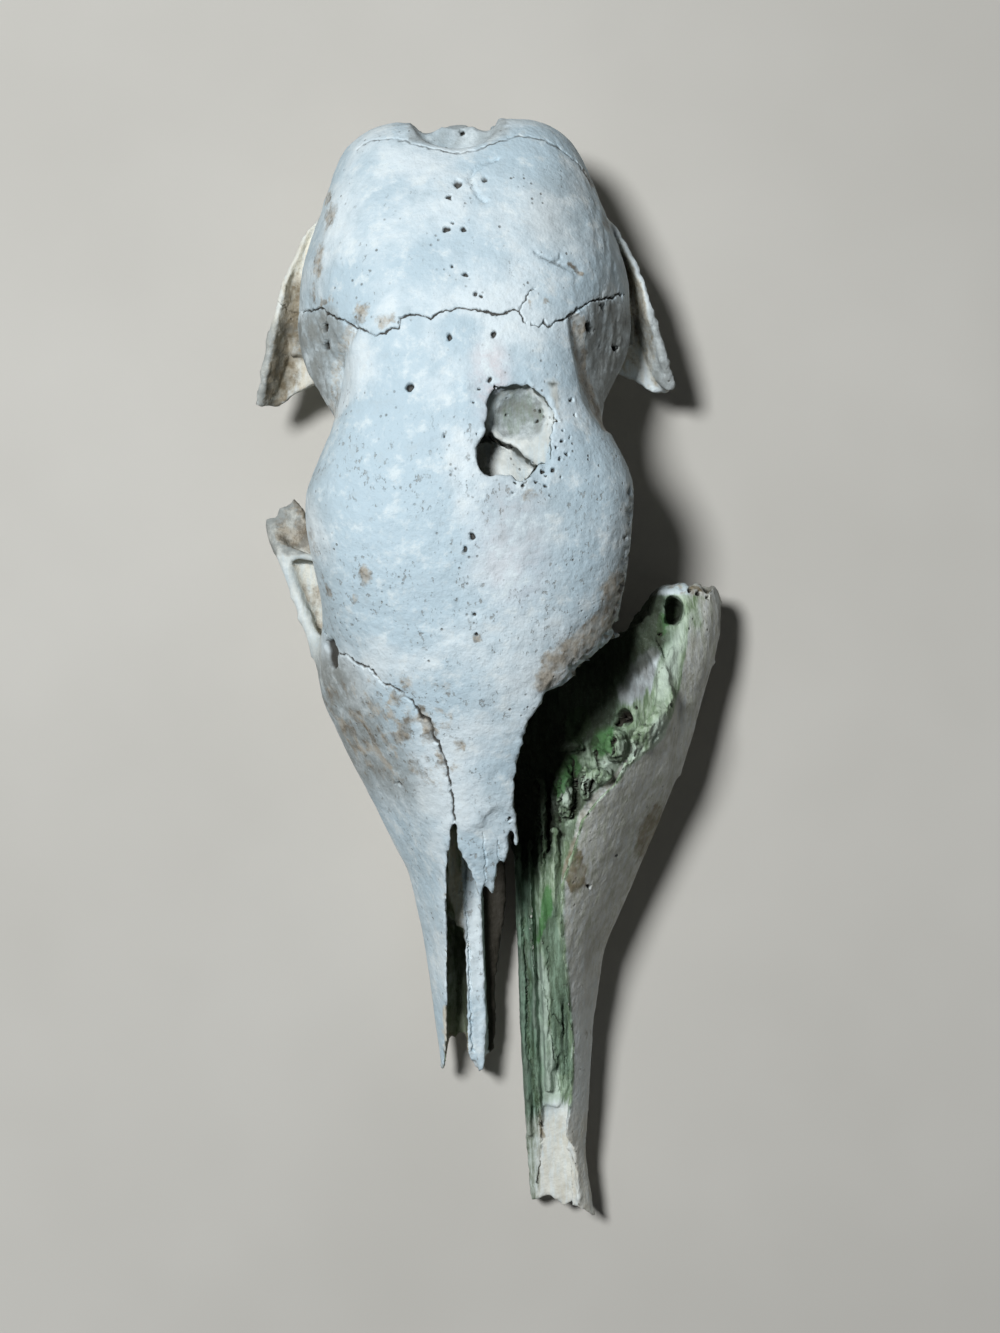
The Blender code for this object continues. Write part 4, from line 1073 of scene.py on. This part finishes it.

# %% Jaw stains, painted shade and painted light
DARK_PLATE = [(6.1, -24), (6.4, -28), (6.8, -31), (6.9, -35), (7, -40)]
EDGE_STRIP = [(2.7, -21), (2.9, -28.7), (3, -36.6), (3.2, -46)]
PALE_STRIP = [(4.6, -29), (5.1, -31), (5, -35.5), (5.6, -39), (5.7, -44)]
OLIVE_LINE = [(3.7, -25), (3.9, -30.6), (3.7, -35.5), (4.1, -40.6), (4.7, -46.8)]
# Right border of the part that lies deep under the forehead and gets its painted shadow, front to back
SHADE_EDGE = [
    (5, -22), (5.6, -15), (7.8, -11.2), (9.3, -8.7), (13.2, -6), (14.4, -3.1), (18.6, 2), (18.4, 4),
]
# Middle x and y, width, length
VIVID_SPOTS = [
    (6, -23.5, 0.9, 2.6), (8.6, -10.5, 1.6, 2.2), (7.6, -12, 0.8, 1.6), (12, -7.6, 1.4, 2.2),
    (19.2, 4.6, 0.6, 1), (9.6, -6, 1.8, 2.6), (17.9, 3.4, 1, 1.6), (5.2, -26, 0.6, 2),
]
BRIGHT_LUMPS = [
    (8.3, -12.4, 0.7, 1.8), (4.7, -14, 0.6, 2), (6.3, -13.6, 1.2, 2.6), (12.6, -10, 1.2, 1),
    (14.2, -8.4, 1.4, 1.2), (18.6, 0, 1.3, 6), (16.9, -6.6, 1.2, 2.6), (19.4, 6.6, 1.6, 0.9),
    (10.4, -12, 1, 1.2),
]


def stain_shade_and_light_jaw(piece, dark, sky, opened):
    _, normals, points = read_piece(piece)
    x, y, z = points.T
    inner = jaw_inside(points, normals)
    outer = 1 - inner
    front = rise(-y, 42, 46)
    far = rise(-y, 17, 22)
    # Painted light: the front part of the outer wall is kept pale, with less green, ivory, grey and blue
    painted_light_wall = outer * rise(-y, 26, 38)
    places = wander(points, 0.45, (1.2, 2.4, 1.2), (1.2, 4.5))

    high_stain = rise(z + waves(points, 2, 7.3), 5, 9.5)
    brown = (
        1.4 * spot(places, 8.5, -19.4, 1.5, 3, 8)
        + 0.9 * spot(places, 16.2, -16.5, 1.8, 4.2, -22) * high_stain
    )
    brown += (
        0.5 * spot(places, 9.4, -36.3, 0.5, 0.9) + 0.35 * spot(places, 9.6, -41.5, 0.5, 0.6)
        + 0.3 * spot(places, 20.4, -3, 1.4, 5)
    )
    brown += 0.3 * (1 - sky) * outer
    # Painted shade where the jaw is closed in; it also goes into the dark plate colour
    deep = fade(opened, 0.3, 0.75)
    vivid = np.zeros(len(points))
    for px, py, wide, long in VIVID_SPOTS:
        vivid = np.maximum(vivid, spot(places, px, py, wide, long, -12))
    pale = 0.9 * near_line(places, EDGE_STRIP, 0.35, 0.7) * (y < -20)
    pale = np.maximum(pale, near_line(places, PALE_STRIP, 0.6, 1))
    for px, py, wide, long in BRIGHT_LUMPS:
        pale = np.maximum(pale, 0.9 * spot(places, px, py, wide, long, -20 if py > -9 else 0))
    lilac = spot(places, 15.6, -1.6, 1.9, 4.4, -28)
    # Painted shadow of the forehead over the jaw's inner part; it goes into the plate colour and the
    # painted shade
    shade = rise(read_off(y, SHADE_EDGE, 1) - places[:, 0], -1.6, 1)
    plate = 0.85 * near_line(places, DARK_PLATE, 0.7, 1.3)
    plate = np.maximum(plate * far, 0.5 * deep * (1 - pale))
    plate = np.maximum(plate, shade)
    deep_shade = np.maximum(1 - opened, 0.95 * shade * (y > -20)) * (1 - 0.85 * far)
    # The floor of the hole in the rim: dark green, with painted shade
    floor = (z < 9) * (x > 17.6) * (y > 2.6)
    plate = np.maximum(plate, 0.8 * floor)
    deep_shade = np.maximum(deep_shade, 0.75 * floor)
    brown += inner * far * 0.6 * near_line(places, OLIVE_LINE, 0.1, 0.5)
    green = (
        inner * (1 - front) * (0.95 - 0.85 * lilac) - 0.25 * inner * far * (1 - plate)
        + 0.5 * inner * front * fade(places[:, 0], 3.6, 5.6)
    )
    green += 0.28 * outer * (1 - 0.85 * painted_light_wall)
    green += 0.4 * spot(places, 21.2, 4.8, 1.2, 3) * (z > 8)
    crust = rise(y, 5.9, 6.6)
    green *= 1 - 0.7 * crust
    brown += crust * np.maximum(0, 0.3 + 0.9 * waves(points, 0.8, 4.9, 3))
    ivory = (0.75 * outer + 0.75 * front) * (1 - 0.5 * painted_light_wall)
    grey = 0.3 * outer * rise(z, 6, 11) * (1 - painted_light_wall) + 0.75 * lilac
    blue = (0.3 + 0.35 * waves(points, 5, 3.6)) * (1 - painted_light_wall)
    write_masks(
        piece, marks=(dark, brown, green), tone=(ivory, grey, 1 - deep_shade),
        tint=(blue, 0.6 * lilac, 0), growth=(plate, vivid * inner, pale),
        wear=(0, 1 - inner + far * inner, 0),
    )


stain_shade_and_light_jaw(jaw, jaw_dark, jaw_sky, jaw_open)
jaw.data.shade_smooth()
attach(jaw, "root")
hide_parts("loose_left_upper_jaw")

# %% [markdown]
# Teeth
#
# An armadillo's teeth are plain pegs without enamel. Each solid peg is copied, its crown
# face is inset, and its edges are rounded with a subdivision.

# %% Teeth
FLAT_ANGLE = math.radians(2)
CROWN_INSET = 0.25
ROUNDING = 3


def make_tooth(node):
    piece = copy_solid(node.replace("upper", "worn"), node)
    with edited(piece) as bm:
        bmesh.ops.remove_doubles(bm, verts=bm.verts[:], dist=SAME_POINT)
        bmesh.ops.dissolve_limit(bm, angle_limit=FLAT_ANGLE, verts=bm.verts[:], edges=bm.edges[:])
        crown = [face for face in bm.faces if face.calc_center_median().z < 0.01 * MM]
        bmesh.ops.inset_individual(bm, faces=crown, thickness=CROWN_INSET * MM)
    rounder = piece.modifiers.new("round", "SUBSURF")
    rounder.levels = ROUNDING
    rounder.render_levels = ROUNDING
    settle(piece)
    points = points_of(piece.data)
    normals = normals_of(piece.data)
    points += (0.035 * waves(points, 0.7, 5))[:, None] * normals
    points[:, 2] = np.maximum(points[:, 2], 0)
    move_points(piece.data, points)
    piece.data.shade_smooth()
    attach(piece, "root")
    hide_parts(node)
    return piece


teeth = [make_tooth(name) for name in sorted(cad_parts) if "tooth" in name]
print("teeth", len(teeth), "triangles each", 2 * len(teeth[0].data.polygons))

# %% [markdown]
# Bone
#
# Weathered bone is chalky: pale and bluish where rain has washed it, with grey and cream
# clouds, thousands of pores and fine grain. Old stains are brown, green growth follows
# the damp, and cracks are nearly black. Closed hollows and pits get a painted shade.
# Every layer's edge is broken by noise.

# %% Bone material
def start_material(name):
    material = bpy.data.materials.new(name)
    material.use_nodes = True
    tree = material.node_tree
    place = Wire(tree, tree.nodes.new("ShaderNodeTexCoord").outputs["Object"])
    millimetres = place.make("ShaderNodeVectorMath", {0: place, 3: 1000}, operation="SCALE")
    return material, tree.nodes["Principled BSDF"], millimetres


def cloud(place, size, detail=3, roughness=0.55, seed=0):
    """Noise from 0 to 1 with lumps of this size in mm."""
    shift = {0: place, 1: (seed, 2 * seed, 3 * seed)}
    moved = place.make("ShaderNodeVectorMath", shift, operation="ADD")
    look = {"Vector": moved, "Scale": 1 / size, "Detail": detail, "Roughness": roughness}
    return place.make("ShaderNodeTexNoise", look)


def stretched(place, x, y, z):
    return place.make("ShaderNodeVectorMath", {0: place, 1: (x, y, z)}, operation="MULTIPLY")


def masks_of(place, name):
    attribute = place.make("ShaderNodeAttribute", {}, attribute_name=name)
    split = place.make("ShaderNodeSeparateColor", {0: attribute}).socket.node
    return [Wire(place.tree, split.outputs[k]) for k in range(3)]


def pores(place, size, amount):
    """1 in scattered small dark dots."""
    dots = {"Vector": place, "Scale": 1 / size, "Randomness": 1}
    cells = place.make("ShaderNodeTexVoronoi", dots)
    patches = cloud(place, 3.5, seed=4)
    return (1 - cells.step(0.05, 0.22)) * patches.step(0.62 - amount, 0.74 - amount)


def bone_material():
    material, shader, place = start_material("weathered bone")
    dark, brown, green = masks_of(place, "marks")
    ivory, grey, opened = masks_of(place, "tone")
    blue, pink, upper = masks_of(place, "tint")
    plate, vivid, mint = masks_of(place, "growth")
    wear, warm, _ = masks_of(place, "wear")
    broad = cloud(place, 6, 3, 0.6, seed=1)
    blotch = cloud(place, 1.9, 5, 0.7, seed=2)
    lumps = cloud(place, 1, 2, 0.5, seed=7)
    grain = cloud(place, 0.4, 4, 0.65, seed=3)
    speck = cloud(place, 0.15, 2, 0.6, seed=5)
    fibres = cloud(stretched(place, 1, 0.18, 0.5), 0.4, 4, 0.65, seed=6)
    dashes = cloud(stretched(place, 1, 0.6, 1), 0.42, 4, 0.65, seed=8)

    washed = (0.4 * broad + 0.25 * blotch + 0.35 * blue).step(0.38, 0.6)
    old = blotch.step(0.35, 0.65).mix((0.66, 0.64, 0.55), (0.52, 0.47, 0.36))
    dash = (dashes + 0.1 * wear).step(0.67, 0.73) * blotch.step(0.44, 0.58) * wear.step(0.15, 0.6)
    dash = dash * (0.25 + 0.75 * broad.step(0.42, 0.54))
    rust = (brown + 0.9 * grain - 0.55).step(0.1, 0.55)
    earth = blotch.step(0.42, 0.6).mix((0.4, 0.36, 0.29), (0.16, 0.13, 0.09))
    earth = (0.8 * warm).mix(earth, (0.15, 0.11, 0.04))
    streaks = fibres.step(0.36, 0.6).mix((0.42, 0.52, 0.38), (0.17, 0.25, 0.13))
    # Dark green of the plates; where the plate mask holds painted shade, this colour is painted shade too
    shaded = fibres.step(0.35, 0.6).mix((0.1, 0.19, 0.12), (0.035, 0.07, 0.035))
    moss = layered(streaks, [
        (0.85 * (mint * fibres.step(0.2, 0.5)), (0.58, 0.69, 0.59)),
        (0.9 * plate, shaded),
        (0.85 * (vivid + 0.6 * grain - 0.3).step(0.2, 0.7), (0.03, 0.15, 0.015)),
    ])
    growth = (green + 0.7 * fibres - 0.5).step(0.05, 0.55)
    # Painted shade: near black where the surface is closed in and not rain-washed
    painted_shade = (1 - opened.step(0, 0.5)) * (1 - upper)
    holes = pores(place, 0.8, 0.1)
    # Clouds and pink first, then old ivory, grey, dashes and earth, and growth, painted shade and cracks
    # last
    bone = layered(washed.mix((0.65, 0.735, 0.77), (0.46, 0.58, 0.645)), [
        (0.7 * (1 - blotch.step(0.3, 0.5)), (0.7, 0.77, 0.78)),
        (0.4 * blotch.step(0.54, 0.7), (0.45, 0.53, 0.56)),
        (0.55 * pink * blotch.step(0.35, 0.6), (0.66, 0.58, 0.58)),
        (ivory * (0.5 + 0.5 * fibres.step(0.3, 0.6)), old),
        (grey * (0.35 + 0.65 * blotch.step(0.3, 0.6)), (0.26, 0.28, 0.27)),
        (0.62 * dash, (0.22, 0.21, 0.18)),
        (rust * (0.6 + 0.32 * lumps.step(0.35, 0.65)), earth),
        (0.95 * growth, moss),
        (0.85 * painted_shade, (0.03, 0.035, 0.02)),
        (0.7 * holes, (0.13, 0.12, 0.1)),
        (0.2 * speck.step(0.58, 0.74), (0.3, 0.34, 0.35)),
        # Cracks and sutures, and painted shade in the pits and on the blade beside the vomer
        (0.95 * dark.step(0.15, 0.7), (0.03, 0.025, 0.018)),
    ])
    height = 0.16 * lumps + 0.07 * grain + 0.012 * speck - 0.1 * holes - 0.04 * dash
    height = height + 0.12 * fibres * (green + 0.4 * grey)
    bump = place.make("ShaderNodeBump", {"Height": height, "Strength": 1, "Distance": MM})
    rough = 0.5 + 0.25 * grain + 0.1 * growth
    feed(shader, {"Base Color": bone, "Roughness": rough, "Specular IOR Level": 0.35, "Normal": bump})
    return material


bone = bone_material()
cranium.data.materials.append(bone)
jaw.data.materials.append(bone)
print("bone nodes", len(bone.node_tree.nodes))

# %% [markdown]
# Tooth and table are simpler. The dentine of the pegs is yellower than bone and stained
# along cracks, and the table is a plain matt sheet.

# %% Tooth and table materials
def tooth_material():
    material, shader, place = start_material("worn tooth")
    blotch = cloud(place, 1.2, seed=2)
    lines = cloud(stretched(place, 1, 1, 0.2), 0.25, 3, seed=3)
    dentine = blotch.step(0.35, 0.65).mix((0.62, 0.58, 0.46), (0.48, 0.4, 0.26))
    dentine = (0.6 * lines.step(0.55, 0.7)).mix(dentine, (0.22, 0.15, 0.08))
    bump = place.make("ShaderNodeBump", {"Height": lines, "Strength": 0.4, "Distance": 0.1 * MM})
    feed(shader, {"Base Color": dentine, "Roughness": 0.38 + 0.2 * blotch, "Normal": bump})
    return material


def table_material():
    material, shader, place = start_material("pale table")
    sheet = cloud(place, 40).step(0.2, 0.8).mix((0.49, 0.475, 0.435), (0.54, 0.525, 0.485))
    feed(shader, {"Base Color": sheet, "Roughness": 0.85})
    return material


tooth = tooth_material()
for piece in teeth:
    piece.data.materials.append(tooth)
table.data.materials.append(table_material())
print("materials", len(bpy.data.materials))

# %% [markdown]
# Finish
#
# The bone's outside has to stay inside the box of the solids.
